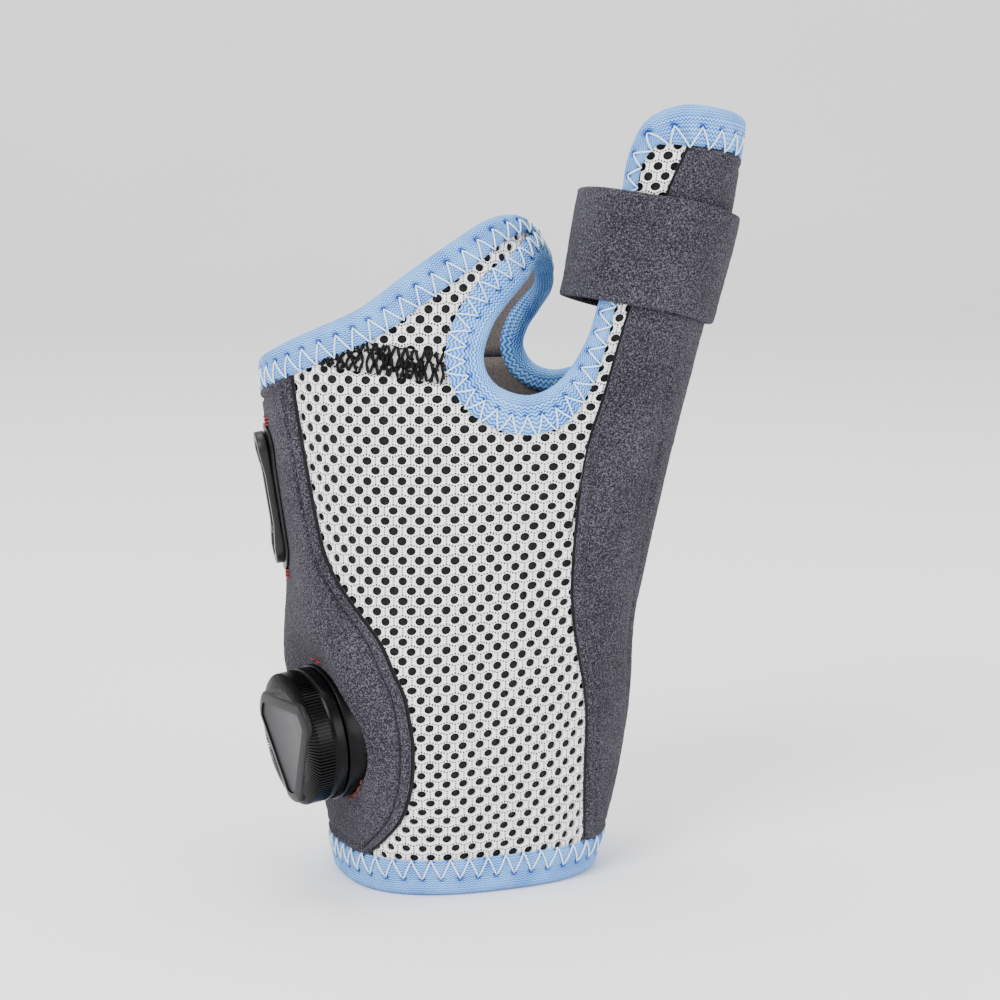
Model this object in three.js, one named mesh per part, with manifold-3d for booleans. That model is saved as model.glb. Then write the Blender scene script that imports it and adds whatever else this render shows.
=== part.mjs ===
// Wrist and thumb brace with a rotary lace dial, standing on its wrist rim.
// Millimetres, +Z up. X runs from the little-finger edge to the thumb, -Y is the palm side.
import * as THREE from 'three';
import { mergeVertices } from 'three/addons/utils/BufferGeometryUtils.js';
import loadManifold from 'manifold-3d';

const wasm = await loadManifold();
wasm.setup();

// Driving dimensions
const standX = 1.2;              // moves the sections so that the part stands centred on its origin
const standY = 2.2;
const splitStart = 119;          // hand and thumb share one wall up to here
const splitEnd = 136;            // and are two separate walls from here
const sideCount = 120;           // sides of a section line

const wallOuter = -1.8;          // lifts are measured from the outside of the sewn-on panels
const wallInner = -4.3;
const panelInner = -1.1;
const panelOuter = 0;
const layGap = 0.3;              // between layers and between neighbouring pieces
const footGap = 0.45;            // under the dial, whose foot has flat facets
const wallInset = 2.7;           // from the fold of a binding to the cut edge of the wall
const wristWidth = 9;            // of the binding round the wrist rim

const notchNear = 78.5;          // lowest column of the thumb notch, along the palm side
const notchFar = 86;             // and along the back of the hand
const shareLevel = 116;          // columns keep their shares of the wall up to this level

const webStart = 30;             // the web strip begins here, measured from the little-finger edge
const seamStart = 33.5;
const seamHeight = 6.8;          // flat seam between the web strip and the main panel
const seamOuter = -0.3;

const strapMid = 149;
const strapWidth = 25.2;
const strapLean = 0.2;           // drop towards the right for each millimetre
const strapBack = 0.13;          // and towards the back
const strapInner = 0.4;
const strapOuter = 2.1;
const strapSides = 36;

const handColumns = 13;          // columns and rows of the wall patches
const notchColumns = 3;
const columnStep = 6;            // along the thumb's edge
const columnGap = 0.4;           // and at least this far apart round the thumb
const levels = [
  wallInset, 14, 24, 32, 39, 46, 55, 67, 80, 94, 108,
  113, 117, 120.5, 124, 127.5, 131.5, 136, 141.5, 148, 157, 167, 175,
];
const levelGap = 0.8;            // a column ends at the first level this near to its top
const webColumns = 44;
const webRows = 2;
const seamColumns = 8;
const fingerSteps = 46;          // sections along each binding
const thumbSteps = 74;
const wristSteps = 40;
const ulnarColumns = 12;         // columns and rows of the sewn-on panels
const ulnarRows = 14;
const stallColumns = 10;
const stallRows = 16;
const rowSpread = 1.3;           // more than 1 draws the rows of a sewn-on panel together at its foot

const dialX = -42.5;             // middle of the joint between the dial's base and its knob
const dialY = -20;
const dialUp = 37.8;
const dialStart = 19;            // near the dial, along the wall
const pressDepth = 1.3;          // the sleeve is pressed down to this far below the joint
const pressSoft = 1.2;
const pressInner = 16;           // pressed fully within this radius and not at all outside the next
const pressOuter = 27;
const dialAxis = new THREE.Vector3(-0.87, -0.48, -0.11).normalize();
const baseRadius = 16.2;
const knobRadius = 15.8;
const baseSides = 36;
const baseEdge = 0.8;
const footRings = [0.34, 0.67, 1];  // rings of the base's underside, as shares of its radius
const knobHeight = 7.4;
const knobEdge = 0.6;
const bandHeight = 2.8;          // smooth band below the ridges
const knobRidges = 24;
const ridgeDepth = 0.3;
const capRadius = 10.4;          // corner circle of the three-cornered plate
const capCorner = 4.8;
const capThick = 1.6;
const capRecess = 0.45;
const capRim = 1.6;
const capTurn = 3;               // degrees

const guideAround = 7;
const guideUp = 92.2;
const guideSeat = 0.6;           // clears the panel's curve under the flat guide
const guideLength = 32;
const guideWidth = 9.5;
const guideThick = 2.3;
const guidePlate = 0.9;
const guideFrame = 2.2;
const guidePost = 1.1;           // radius
const guidePostSpacing = 15;

function table(columns, rows) {
  return rows.map((row) => Object.fromEntries(columns.map((name, k) => [name, row[k]])));
}

// Ovals of the hand and wrist: centre, half width, half depth, turn in degrees, and squareness (2 is an
// ellipse, more is squarer, so that the dial has a flat to sit on)
const handSections = table(['up', 'x', 'y', 'half', 'deep', 'turn', 'power'], [
  [0, -8.7, 0, 31.5, 25.5, 21, 2.5],
  [13, -7.9, 0, 33.4, 26.5, 23, 2.8],
  [30, -8.0, 0, 36.8, 28.0, 25, 3.0],
  [50, -10.0, 0, 41.4, 29.5, 21, 2.8],
  [75, -11.0, 0, 40.3, 29.0, 15, 2.5],
  [100, -15.6, 0, 39.1, 28.0, 10, 2.4],
  [125, -20.8, 0, 36.6, 26.0, 8, 2.3],
  [148, -22.5, 0, 34.5, 23.0, 6, 2.2],
  [165, -26.0, 0, 27.5, 19.0, 5, 2.2],
]);

// Ovals of the thumb sheath
const thumbSections = table(['up', 'x', 'y', 'half', 'deep', 'turn', 'power'], [
  [50, 8.0, 2.0, 22.0, 22.0, 0, 2.2],
  [75, 14.8, 0.0, 20.2, 21.0, 0, 2.2],
  [100, 21.6, -3.0, 18.5, 19.5, 0, 2.2],
  [125, 28.6, -7.0, 17.2, 18.0, 0, 2.2],
  [140, 32.6, -9.6, 16.7, 17.2, 0, 2.2],
  [155, 35.6, -12.0, 17.2, 17.2, 0, 2.2],
  [185, 40.2, -16.2, 16.7, 16.5, 0, 2.2],
]);

// Folds of the edge bindings. The hand is measured along the wall from the little-finger edge and the
// thumb from its right side; palm-side lengths are positive and back-of-hand lengths negative.
const fingerFold = table(['branch', 'around', 'up', 'width'], [
  ['hand', 0, 124.5, 8],
  ['hand', 13.5, 127.6, 8],
  ['hand', 26, 132.5, 8],
  ['hand', 38, 138, 8],
  ['hand', 48, 146, 8],
  ['hand', 58, 154, 7.5],
  ['hand', 65, 158.3, 6.5],
  ['hand', 73, 159.3, 5.5],
  ['hand', 83, 157.6, 5],
  ['hand', -77, 152, 5.5],
  ['hand', -66, 144.5, 7],
  ['hand', -54, 137, 8],
  ['hand', -40, 129.5, 8],
  ['hand', -24, 124, 8],
  ['hand', -11, 122.6, 8],
]);

const thumbFold = table(['branch', 'around', 'up', 'width'], [
  ['hand', 86.5, 148.4, 6],
  ['hand', 79, 143, 8],
  ['hand', 74.4, 138.5, 9],
  ['hand', 70.6, 133, 9],
  ['hand', 69, 127.5, 9],
  ['hand', 69.8, 123.6, 9],
  ['hand', 72.8, 120, 9],
  ['hand', notchNear, 118, 9],
  ['thumb', 45.4, 119, 9],
  ['thumb', 42.2, 122.6, 7],
  ['thumb', 40.2, 128, 6],
  ['thumb', 38.9, 137, 5.5],
  ['thumb', 38.6, 150, 5],
  ['thumb', 38.4, 164, 4.6],
  ['thumb', 38, 172.5, 5],
  ['thumb', 34.8, 180, 7],
  ['thumb', 26.5, 183.6, 9],
  ['thumb', 14, 182.6, 9],
  ['thumb', 0, 180.5, 9],
  ['thumb', -12, 178.3, 9],
  ['thumb', -21, 175.6, 9],
  ['thumb', -28, 170.6, 7.5],
  ['thumb', -31, 162, 6],
  ['thumb', -31.6, 148, 5.5],
  ['thumb', -31.8, 136, 5.5],
  ['thumb', -33, 128, 6],
  ['thumb', -36.5, 123, 7.5],
  ['hand', -notchFar, 120, 9],
  ['hand', -80.5, 121.5, 9],
  ['hand', -78.2, 125.5, 9],
  ['hand', -79.8, 130, 9],
  ['hand', -84, 134.4, 8],
  ['hand', -91, 140, 6],
]);

// Section of a binding: depth from its fold (share of its width or millimetres) and lift
const bindingSection = table(['share', 'depth', 'lift'], [
  [1, 0, -1.1],
  [1, 0, -0.2],
  [0.5, 0, 0],
  [0, 1.4, 0],
  [0, 0, -1.4],
  [0, 0, -4.6],
  [0, 1.4, -6],
  [0.5, 0, -6],
  [1, -0.6, -5.8],
  [1, -0.6, -4.9],
  [0.5, 0, -4.9],
  [0, 1.2, -4.9],
  [0, 1.2, -1.1],
  [0.5, 0, -1.1],
]);

// Edges of the sewn-on panels: how far they reach from their own end of the section, on each side
const ulnarReach = table(['up', 'near', 'far'], [
  [9, 26, 17],
  [14, 33, 19],
  [19, 38.5, 21],
  [26, 43, 22],
  [33, 46, 23],
  [40, 48.5, 23],
  [49, 49.4, 23],
  [55, 47, 23],
  [62, 43, 23],
  [72, 33.5, 22],
  [77, 29.5, 22],
  [83, 27, 22],
  [97, 25.5, 22],
  [124, 22, 21],
]);

const thumbReach = table(['up', 'near', 'far'], [
  [9, 13, 12],
  [23, 17.5, 17],
  [42, 21.5, 20],
  [57, 26, 22],
  [72, 30, 24],
  [90, 32, 25],
  [105, 32.6, 25],
  [118, 31.2, 24],
  [135, 30, 21],
  [164, 26.6, 18],
  [175, 23, 16],
]);

// Line of the seam across the hand, and where the panels meet under the seam tape
const seamLine = table(['around', 'near', 'far'], [
  [0, 131.5, 119.5],
  [32, 128.3, 120.7],
  [62, 124.1, 122.5],
  [90, 121.2, 124],
]);

// Reads one column of a table by a smooth curve through its rows
function read(rows, by, value, name) {
  const last = rows.length - 1;
  const at = THREE.MathUtils.clamp(value, rows[0][by], rows[last][by]);
  let i = 0;
  while (i < last - 1 && at > rows[i + 1][by]) i += 1;
  const slope = (j) => {
    const before = rows[Math.max(j - 1, 0)];
    const after = rows[Math.min(j + 1, last)];
    return (after[name] - before[name]) / (after[by] - before[by]);
  };
  const span = rows[i + 1][by] - rows[i][by];
  const x = (at - rows[i][by]) / span;
  const start = rows[i][name] * (1 + 2 * x) * (1 - x) ** 2 + slope(i) * span * x * (1 - x) ** 2;
  return start + rows[i + 1][name] * x * x * (3 - 2 * x) - slope(i + 1) * span * x * x * (1 - x);
}

function sectionAt(rows, up) {
  const value = (name) => read(rows, 'up', up, name);
  return {
    x: value('x') + standX,
    y: value('y') + standY,
    half: value('half'),
    deep: value('deep'),
    turn: THREE.MathUtils.degToRad(value('turn')),
    power: value('power'),
  };
}

// Point of an oval whose outward direction is the given angle
function ovalPoint(section, angle) {
  const dual = section.power / (section.power - 1);
  const cos = Math.cos(angle - section.turn);
  const sin = Math.sin(angle - section.turn);
  const wide = Math.abs(section.half * cos);
  const thin = Math.abs(section.deep * sin);
  const reach = (wide ** dual + thin ** dual) ** (1 / dual);
  const x = Math.sign(cos) * section.half * (wide / reach) ** (dual - 1);
  const y = Math.sign(sin) * section.deep * (thin / reach) ** (dual - 1);
  return new THREE.Vector2(x, y)
    .rotateAround(new THREE.Vector2(), section.turn)
    .add(new THREE.Vector2(section.x, section.y));
}

// Closed lines round one level, from the little-finger edge by the palm side and back by the other
const lineCache = new Map();
function linesAt(up) {
  const key = up.toFixed(3);
  if (lineCache.has(key)) return lineCache.get(key);
  const hand = sectionAt(handSections, up);
  const thumb = sectionAt(thumbSections, up);
  const points = { hand: [], thumb: [], both: [] };
  for (let k = 0; k <= sideCount; k += 1) {
    const angle = Math.PI + (2 * Math.PI * k) / sideCount;
    const way = new THREE.Vector2(Math.cos(angle), Math.sin(angle));
    const onHand = ovalPoint(hand, angle);
    const onThumb = ovalPoint(thumb, angle);
    const thumbOut = up > thumbSections[0].up && onThumb.dot(way) > onHand.dot(way);
    points.hand.push(onHand);
    points.thumb.push(onThumb);
    points.both.push(thumbOut ? onThumb : onHand);
  }
  const lines = {};
  for (const [kind, list] of Object.entries(points)) {
    const lengths = [0];
    for (let k = 1; k <= sideCount; k += 1) lengths.push(lengths[k - 1] + list[k].distanceTo(list[k - 1]));
    lines[kind] = { points: list, lengths, near: lengths[sideCount / 2], whole: lengths[sideCount] };
  }
  lineCache.set(key, lines);
  return lines;
}

function alongLine(line, length) {
  const at = THREE.MathUtils.euclideanModulo(length, line.whole);
  let low = 0;
  let high = sideCount;
  while (high - low > 1) {
    const mid = (low + high) >> 1;
    if (line.lengths[mid] <= at) low = mid;
    else high = mid;
  }
  const share = (at - line.lengths[low]) / (line.lengths[high] - line.lengths[low]);
  return line.points[low].clone().lerp(line.points[high], share);
}

// The sleeve gives way under the dial
const dialCentre = new THREE.Vector3(dialX + standX, dialY + standY, dialUp);
function pressed(point) {
  const from = point.clone().sub(dialCentre);
  const height = from.dot(dialAxis);
  const away = from.addScaledVector(dialAxis, -height).length();
  const over = height + pressDepth;
  const push = (over + Math.hypot(over, pressSoft)) / 2;
  const share = 1 - THREE.MathUtils.smoothstep(away, pressInner, pressOuter);
  return point.addScaledVector(dialAxis, -push * share);
}

// Outside of the brace at a distance along the wall and a height
function wallPoint(branch, around, up) {
  const { both, [branch]: own } = linesAt(up);
  const fromEnd = (line) => (branch === 'hand' ? around : line.near - around);
  const apart = THREE.MathUtils.smoothstep(up, splitStart, splitEnd);
  const flat = alongLine(both, fromEnd(both)).lerp(alongLine(own, fromEnd(own)), apart);
  return pressed(new THREE.Vector3(flat.x, flat.y, up));
}

function wallFrame(branch, around, up) {
  const step = 0.4;
  const point = wallPoint(branch, around, up);
  const across = wallPoint(branch, around + step, up)
    .sub(wallPoint(branch, around - step, up))
    .divideScalar(2 * step);
  const rise = wallPoint(branch, around, up + step)
    .sub(wallPoint(branch, around, up - step))
    .divideScalar(2 * step);
  const normal = new THREE.Vector3().crossVectors(across, rise).normalize();
  if (branch === 'thumb') normal.negate();
  return { point, across, rise, normal };
}

function lifted(branch, around, up, lift) {
  const { point, normal } = wallFrame(branch, around, up);
  return point.addScaledVector(normal, lift);
}

// Steps along the wall, as distances around and up, that best give a step in space
function wallStep(frame, step) {
  const aa = frame.across.dot(frame.across);
  const ab = frame.across.dot(frame.rise);
  const bb = frame.rise.dot(frame.rise);
  const pa = frame.across.dot(step);
  const pb = frame.rise.dot(step);
  const det = aa * bb - ab * ab;
  return { around: (pa * bb - pb * ab) / det, up: (pb * aa - pa * ab) / det };
}

function settle(branch, around, up, target) {
  const place = { branch, around, up };
  for (let k = 0; k < 8; k += 1) {
    const frame = wallFrame(branch, place.around, place.up);
    const step = wallStep(frame, target.clone().sub(frame.point));
    place.around += step.around;
    place.up += step.up;
  }
  return place;
}

// Places along a closed fold, with the steps that lead from it into the wall
function foldPath(rows, steps) {
  const anchors = rows.map((row) => wallPoint(row.branch, row.around, row.up));
  const curve = new THREE.CatmullRomCurve3(anchors, true, 'centripetal');
  const places = [];
  for (let k = 0; k < steps; k += 1) {
    const share = curve.getUtoTmapping(k / steps) * rows.length;
    const row = rows[Math.round(share) % rows.length];
    const next = rows[Math.ceil(share) % rows.length];
    const before = rows[Math.floor(share) % rows.length];
    const target = curve.getPoint(share / rows.length);
    const place = settle(row.branch, row.around, row.up, target);
    place.width = THREE.MathUtils.lerp(before.width, next.width, share - Math.floor(share));
    place.frame = wallFrame(place.branch, place.around, place.up);
    places.push(place);
  }
  places.forEach((place, k) => {
    const after = places[(k + 1) % steps].frame.point;
    const tangent = after.clone().sub(places[(k + steps - 1) % steps].frame.point).normalize();
    const inward = new THREE.Vector3().crossVectors(tangent, place.frame.normal).normalize();
    place.inward = wallStep(place.frame, inward);
  });
  return places;
}

function inset(place, depth) {
  return {
    branch: place.branch,
    around: place.around + place.inward.around * depth,
    up: place.up + place.inward.up * depth,
  };
}

// Closed body from corner points and triangles, with its faces turned outwards
function body(points, triangles) {
  const volume = triangles.reduce((sum, [a, b, c]) => (
    sum + points[a].dot(new THREE.Vector3().crossVectors(points[b], points[c]))
  ), 0);
  const faces = volume > 0 ? triangles : triangles.map(([a, b, c]) => [a, c, b]);
  const geometry = new THREE.BufferGeometry().setFromPoints(points);
  geometry.setIndex(faces.flat());
  geometry.computeVertexNormals();
  return geometry;
}

function quad(a, b, c, d) {
  return [[a, b, c], [a, c, d]];
}

// Wall patch with thickness over a grid of places; neighbours in a column may share one place
function patch(grid, inner, outer) {
  const places = [];
  const known = new Map();
  const ids = grid.map((row) => row.map((place) => {
    const key = `${place.branch} ${place.around.toFixed(4)} ${place.up.toFixed(4)}`;
    if (!known.has(key)) known.set(key, places.push(place) - 1);
    return known.get(key);
  }));
  const faces = [];
  for (let i = 0; i < ids.length - 1; i += 1) {
    for (let j = 0; j < ids[i].length - 1; j += 1) {
      faces.push(...quad(ids[i][j], ids[i][j + 1], ids[i + 1][j + 1], ids[i + 1][j]));
    }
  }
  const real = faces.filter(([a, b, c]) => a !== b && b !== c && c !== a);
  const edges = new Set(real.flatMap(([a, b, c]) => [`${a} ${b}`, `${b} ${c}`, `${c} ${a}`]));
  const under = places.length;
  const triangles = [...real];
  for (const [a, b, c] of real) {
    triangles.push([c + under, b + under, a + under]);
    for (const [from, to] of [[a, b], [b, c], [c, a]]) {
      if (!edges.has(`${to} ${from}`)) triangles.push(...quad(to, from, from + under, to + under));
    }
  }
  const side = (lift) => places.map((place) => lifted(place.branch, place.around, place.up, lift));
  return body([...side(outer), ...side(inner)], triangles);
}

// Closed ring from equal cross-sections
function ring(sections) {
  const count = sections[0].length;
  const points = sections.flat();
  const triangles = [];
  sections.forEach((section, i) => {
    const next = ((i + 1) % sections.length) * count;
    for (let k = 0; k < count; k += 1) {
      const after = (k + 1) % count;
      triangles.push(...quad(i * count + k, i * count + after, next + after, next + k));
    }
  });
  return body(points, triangles);
}

function bindingRing(places, section) {
  return ring(places.map((place) => section.map((row) => {
    const spot = inset(place, row.share * place.width + row.depth);
    const point = lifted(spot.branch, spot.around, spot.up, row.lift);
    return place.level ? point.setZ(spot.up) : point;
  })));
}

// Height of a line of places at a distance along the wall
function heightOn(line, around) {
  const sorted = [...line].sort((a, b) => a.around - b.around);
  let i = 0;
  while (i < sorted.length - 2 && around > sorted[i + 1].around) i += 1;
  const share = (around - sorted[i].around) / (sorted[i + 1].around - sorted[i].around);
  return THREE.MathUtils.lerp(sorted[i].up, sorted[i + 1].up, THREE.MathUtils.clamp(share, 0, 1));
}

const fingerPath = foldPath(fingerFold, fingerSteps);
const thumbPath = foldPath(thumbFold, thumbSteps);

function wristPath(steps) {
  const { whole } = linesAt(0).hand;
  const widening = (linesAt(wristWidth).hand.whole / whole - 1) / wristWidth;
  return Array.from({ length: steps }, (_, k) => {
    const around = ((k < steps / 2 ? k : k - steps) * whole) / steps;
    const inward = { around: around * widening, up: 1 };
    return { branch: 'hand', around, up: 0, width: wristWidth, inward, level: true };
  });
}

// Cut edge of the wall, or the free edge of a binding leg, as places on one branch
function edgeOf(path, branch, depthOf) {
  return path.filter((place) => place.branch === branch).map((place) => inset(place, depthOf(place)));
}
const cutEdge = () => wallInset;
const legEdge = (place) => place.width + layGap;

// The hand side of the notch on one face: from its inmost point down to the bottom, or up to the web
function notchRun(side, lower) {
  const edge = edgeOf(thumbPath, 'hand', cutEdge)
    .filter((place) => place.around * side > 0)
    .map((place) => ({ around: place.around * side, up: place.up }));
  const inmost = edge.reduce((best, place) => (place.around < best.around ? place : best));
  const run = edge.filter((place) => (lower ? place.up <= inmost.up : place.up >= inmost.up));
  return { inmost, run };
}

function oneSide(edge, side) {
  return edge
    .filter((place) => place.around * side > -2)
    .map((place) => ({ around: place.around * side, up: place.up }));
}

// Main knit panel of one face: columns run up the wall to the seam, the notch or the thumb's edges
function mainPanel(side) {
  const face = side > 0 ? 'near' : 'far';
  const notch = side > 0 ? notchNear : notchFar;
  const reachOf = (up) => {
    const { near, whole } = linesAt(up).both;
    return side > 0 ? near : whole - near;
  };
  const shrink = (up) => reachOf(Math.min(up, shareLevel)) / reachOf(shareLevel);
  const fingerEdge = oneSide(edgeOf(fingerPath, 'hand', cutEdge), side);
  const thumbEdge = oneSide(edgeOf(thumbPath, 'thumb', cutEdge), side);
  const { inmost, run } = notchRun(side, true);
  const topOf = (branch, around) => {
    if (branch === 'thumb') return heightOn(thumbEdge, around);
    const seam = read(seamLine, 'around', around, face) - layGap / 2;
    const sewn = Math.min(seam, heightOn(fingerEdge, around));
    return around > inmost.around ? Math.min(sewn, heightOn(run, around)) : sewn;
  };
  const columns = [];
  const addColumn = (branch, around) => columns.push({ branch, around });
  for (let j = 0; j < handColumns; j += 1) {
    addColumn('hand', THREE.MathUtils.lerp(layGap / 2, inmost.around, j / handColumns));
  }
  for (let j = 0; j <= notchColumns; j += 1) {
    addColumn('hand', THREE.MathUtils.lerp(inmost.around, notch, j / notchColumns));
  }
  let last = { around: reachOf(shareLevel) - notch, up: shareLevel };
  for (const place of [...thumbEdge].sort((a, b) => b.around - a.around)) {
    const aside = last.around - place.around;
    const far = Math.hypot(aside, place.up - last.up) > columnStep;
    if (aside > columnGap && far && place.around > columnGap) {
      addColumn('thumb', place.around);
      last = place;
    }
  }
  addColumn('thumb', layGap / 2);
  const tops = columns.map(({ branch, around }) => topOf(branch, around));
  const grid = [...levels, Math.max(...tops)].map((level) => columns.map(({ branch, around }, j) => {
    const up = tops[j] - level < levelGap ? tops[j] : level;
    return { branch, around: side * around * shrink(up), up };
  }));
  return patch(grid, wallInner, wallOuter);
}

// Strip over the web: rungs from the seams and the notch up to the finger edge, by shares of the loop
function webStrip() {
  const shareOf = (around, up) => {
    const { whole } = linesAt(up).hand;
    return THREE.MathUtils.euclideanModulo(around, whole) / whole;
  };
  const asShare = (place) => ({ around: shareOf(place.around, place.up), up: place.up });
  const lower = [];
  for (const side of [1, -1]) {
    const face = side > 0 ? 'near' : 'far';
    const { inmost, run } = notchRun(side, false);
    for (let k = 0; k <= 6; k += 1) {
      const around = THREE.MathUtils.lerp(webStart - 2, inmost.around - layGap, k / 6);
      const up = read(seamLine, 'around', around, face) + layGap / 2;
      lower.push(asShare({ around: side * around, up }));
    }
    lower.push(...run.map((place) => asShare({ around: side * place.around, up: place.up })));
  }
  const upper = edgeOf(fingerPath, 'hand', cutEdge).map(asShare);
  const first = shareOf(webStart, seamLine[1].near);
  const last = shareOf(-webStart, seamLine[1].far);
  const grid = Array.from({ length: webRows + 1 }, (_, i) => (
    Array.from({ length: webColumns + 1 }, (__, j) => {
      const share = THREE.MathUtils.lerp(first, last, j / webColumns);
      const up = THREE.MathUtils.lerp(heightOn(lower, share), heightOn(upper, share), i / webRows);
      const turn = share > 0.5 ? share - 1 : share;
      return { branch: 'hand', around: turn * linesAt(up).hand.whole, up };
    })
  ));
  return patch(grid, wallInner, wallOuter);
}

// Flat seam tape from the finger binding to the notch binding
function seamTape(side) {
  const face = side > 0 ? 'near' : 'far';
  const fingerLeg = oneSide(edgeOf(fingerPath, 'hand', legEdge), side);
  const notchLeg = oneSide(edgeOf(thumbPath, 'hand', legEdge), side);
  const end = Math.min(...notchLeg.map((place) => place.around));
  const grid = [0, 1].map((top) => Array.from({ length: seamColumns + 1 }, (_, j) => {
    const around = THREE.MathUtils.lerp(seamStart, end, j / seamColumns);
    const middle = read(seamLine, 'around', around, face);
    const low = middle - seamHeight / 2;
    const high = Math.min(middle + seamHeight / 2, heightOn(fingerLeg, around));
    return { branch: 'hand', around: side * around, up: top ? high : low };
  }));
  return patch(grid, panelInner, seamOuter);
}

// Panel sewn on over one end of the sections, from the wrist binding up to the binding above it
function endPanel(branch, reach, topEdge, columns, rows) {
  const bottom = wristWidth + layGap;
  const share = (i) => (i / rows) ** rowSpread;
  const grid = Array.from({ length: rows + 1 }, (_, i) => Array.from({ length: columns + 1 }, (__, j) => {
    let up = THREE.MathUtils.lerp(bottom, heightOn(topEdge, 0), share(i));
    let around = 0;
    for (let pass = 0; pass < 3; pass += 1) {
      const near = read(reach, 'up', up, 'near');
      const far = read(reach, 'up', up, 'far');
      around = THREE.MathUtils.lerp(-far, near, j / columns);
      up = THREE.MathUtils.lerp(bottom, heightOn(topEdge, around), share(i));
    }
    return { branch, around, up };
  }));
  return patch(grid, panelInner, panelOuter);
}

// Strap closed round the thumb, square to its leaning axis
function thumbStrap() {
  const outline = [
    [strapInner, -1], [strapOuter, -1], [strapOuter, 0],
    [strapOuter, 1], [strapInner, 1], [strapInner, 0],
  ];
  return ring(Array.from({ length: strapSides }, (_, k) => {
    const angle = (2 * Math.PI * k) / strapSides;
    const way = new THREE.Vector2(Math.cos(angle), Math.sin(angle));
    const middle = sectionAt(thumbSections, strapMid);
    return outline.map(([lift, edge]) => {
      const drop = middle.half * (strapLean * way.x + strapBack * way.y);
      const up = strapMid + (edge * strapWidth) / 2 - drop;
      const flat = ovalPoint(sectionAt(thumbSections, up), angle).addScaledVector(way, lift);
      return new THREE.Vector3(flat.x, flat.y, up);
    });
  }));
}

// Frame of a hard fitting: its own Z along the given axis and its own Y as near to upright as it can be
function fittingFrame(origin, axis) {
  const across = new THREE.Vector3(0, 0, 1).cross(axis).normalize();
  const upright = new THREE.Vector3().crossVectors(axis, across);
  return new THREE.Matrix4().makeBasis(across, upright, axis).setPosition(origin);
}

const dialFrame = fittingFrame(dialCentre, dialAxis);

// Where a line along the dial's axis meets the panel
function footOf(point) {
  let place = { around: dialStart, up: dialUp };
  let foot = point.clone();
  for (let pass = 0; pass < 6; pass += 1) {
    place = settle('hand', place.around, place.up, foot);
    const seat = lifted('hand', place.around, place.up, panelOuter + footGap);
    foot = point.clone().addScaledVector(dialAxis, seat.sub(point).dot(dialAxis));
  }
  return foot;
}

// Round body from rows of [radius, height] that start and end on the axis
function spun(profile, sides, radiusOf) {
  const points = [new THREE.Vector3(0, 0, profile[0][1])];
  const inside = profile.slice(1, -1);
  for (const [radius, height] of inside) {
    for (let k = 0; k < sides; k += 1) {
      const angle = (2 * Math.PI * k) / sides;
      const reach = radiusOf(radius, height, k);
      points.push(new THREE.Vector3(reach * Math.cos(angle), reach * Math.sin(angle), height));
    }
  }
  points.push(new THREE.Vector3(0, 0, profile[profile.length - 1][1]));
  const last = points.length - 1;
  const at = (i, k) => 1 + i * sides + (k % sides);
  const triangles = [];
  for (let k = 0; k < sides; k += 1) {
    triangles.push([0, at(0, k + 1), at(0, k)]);
    triangles.push([last, at(inside.length - 1, k), at(inside.length - 1, k + 1)]);
    for (let i = 0; i < inside.length - 1; i += 1) {
      triangles.push(...quad(at(i, k), at(i, k + 1), at(i + 1, k + 1), at(i + 1, k)));
    }
  }
  return { points, triangles };
}

// Base: a round foot whose underside follows the panel
function dialBase() {
  const top = -layGap / 2;
  const profile = [[0, -1], ...footRings.map((share) => [share * baseRadius, -1]),
    [baseRadius, top - baseEdge], [baseRadius - baseEdge, top], [0, top]];
  const { points, triangles } = spun(profile, baseSides, (radius) => radius);
  const under = 1 + footRings.length * baseSides;
  return body(points.map((point, k) => {
    const placed = point.applyMatrix4(dialFrame);
    return k < under ? footOf(placed) : placed;
  }), triangles);
}

function dialKnob() {
  const profile = [
    [0, layGap / 2],
    [knobRadius - knobEdge, layGap / 2],
    [knobRadius, layGap / 2 + knobEdge],
    [knobRadius, bandHeight],
    [knobRadius - knobEdge / 2, bandHeight + knobEdge],
    [knobRadius - knobEdge / 2, knobHeight - 2 * knobEdge],
    [knobRadius - 2 * knobEdge, knobHeight],
    [0, knobHeight],
  ];
  const ridged = (radius, height, k) => (
    height > bandHeight && radius > capRadius ? radius - (k % 2) * ridgeDepth : radius
  );
  const { points, triangles } = spun(profile, 2 * knobRidges, ridged);
  return body(points, triangles);
}

// Three-cornered outline with round corners
function capOutline(corner) {
  const shape = new THREE.Shape();
  for (let k = 0; k < 3; k += 1) {
    const angle = THREE.MathUtils.degToRad(capTurn - 90 + 120 * k);
    const spread = Math.PI / 3;
    const x = capRadius * Math.cos(angle);
    const y = capRadius * Math.sin(angle);
    shape.absarc(x, y, corner, angle - spread, angle + spread);
  }
  return shape;
}

function slotOutline(length, width, target) {
  const radius = width / 2;
  const straight = length / 2 - radius;
  target.absarc(0, straight, radius, 0, Math.PI);
  target.absarc(0, -straight, radius, Math.PI, 2 * Math.PI);
  target.closePath();
  return target;
}

function extruded(shape, low, high) {
  const options = { depth: high - low, bevelEnabled: false, curveSegments: 5 };
  return new THREE.ExtrudeGeometry(shape, options).translate(0, 0, low);
}

function solid(geometry) {
  const plain = geometry.clone();
  plain.deleteAttribute('normal');
  plain.deleteAttribute('uv');
  const merged = mergeVertices(plain, 1e-4);
  return new wasm.Manifold(new wasm.Mesh({
    numProp: 3,
    vertProperties: new Float32Array(merged.attributes.position.array),
    triVerts: new Uint32Array(merged.index.array),
  }));
}

function geometryOf(manifold) {
  const { vertProperties, triVerts } = manifold.getMesh();
  const geometry = new THREE.BufferGeometry();
  geometry.setAttribute('position', new THREE.BufferAttribute(new Float32Array(vertProperties), 3));
  geometry.setIndex(Array.from(triVerts));
  geometry.computeVertexNormals();
  return geometry;
}

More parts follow.
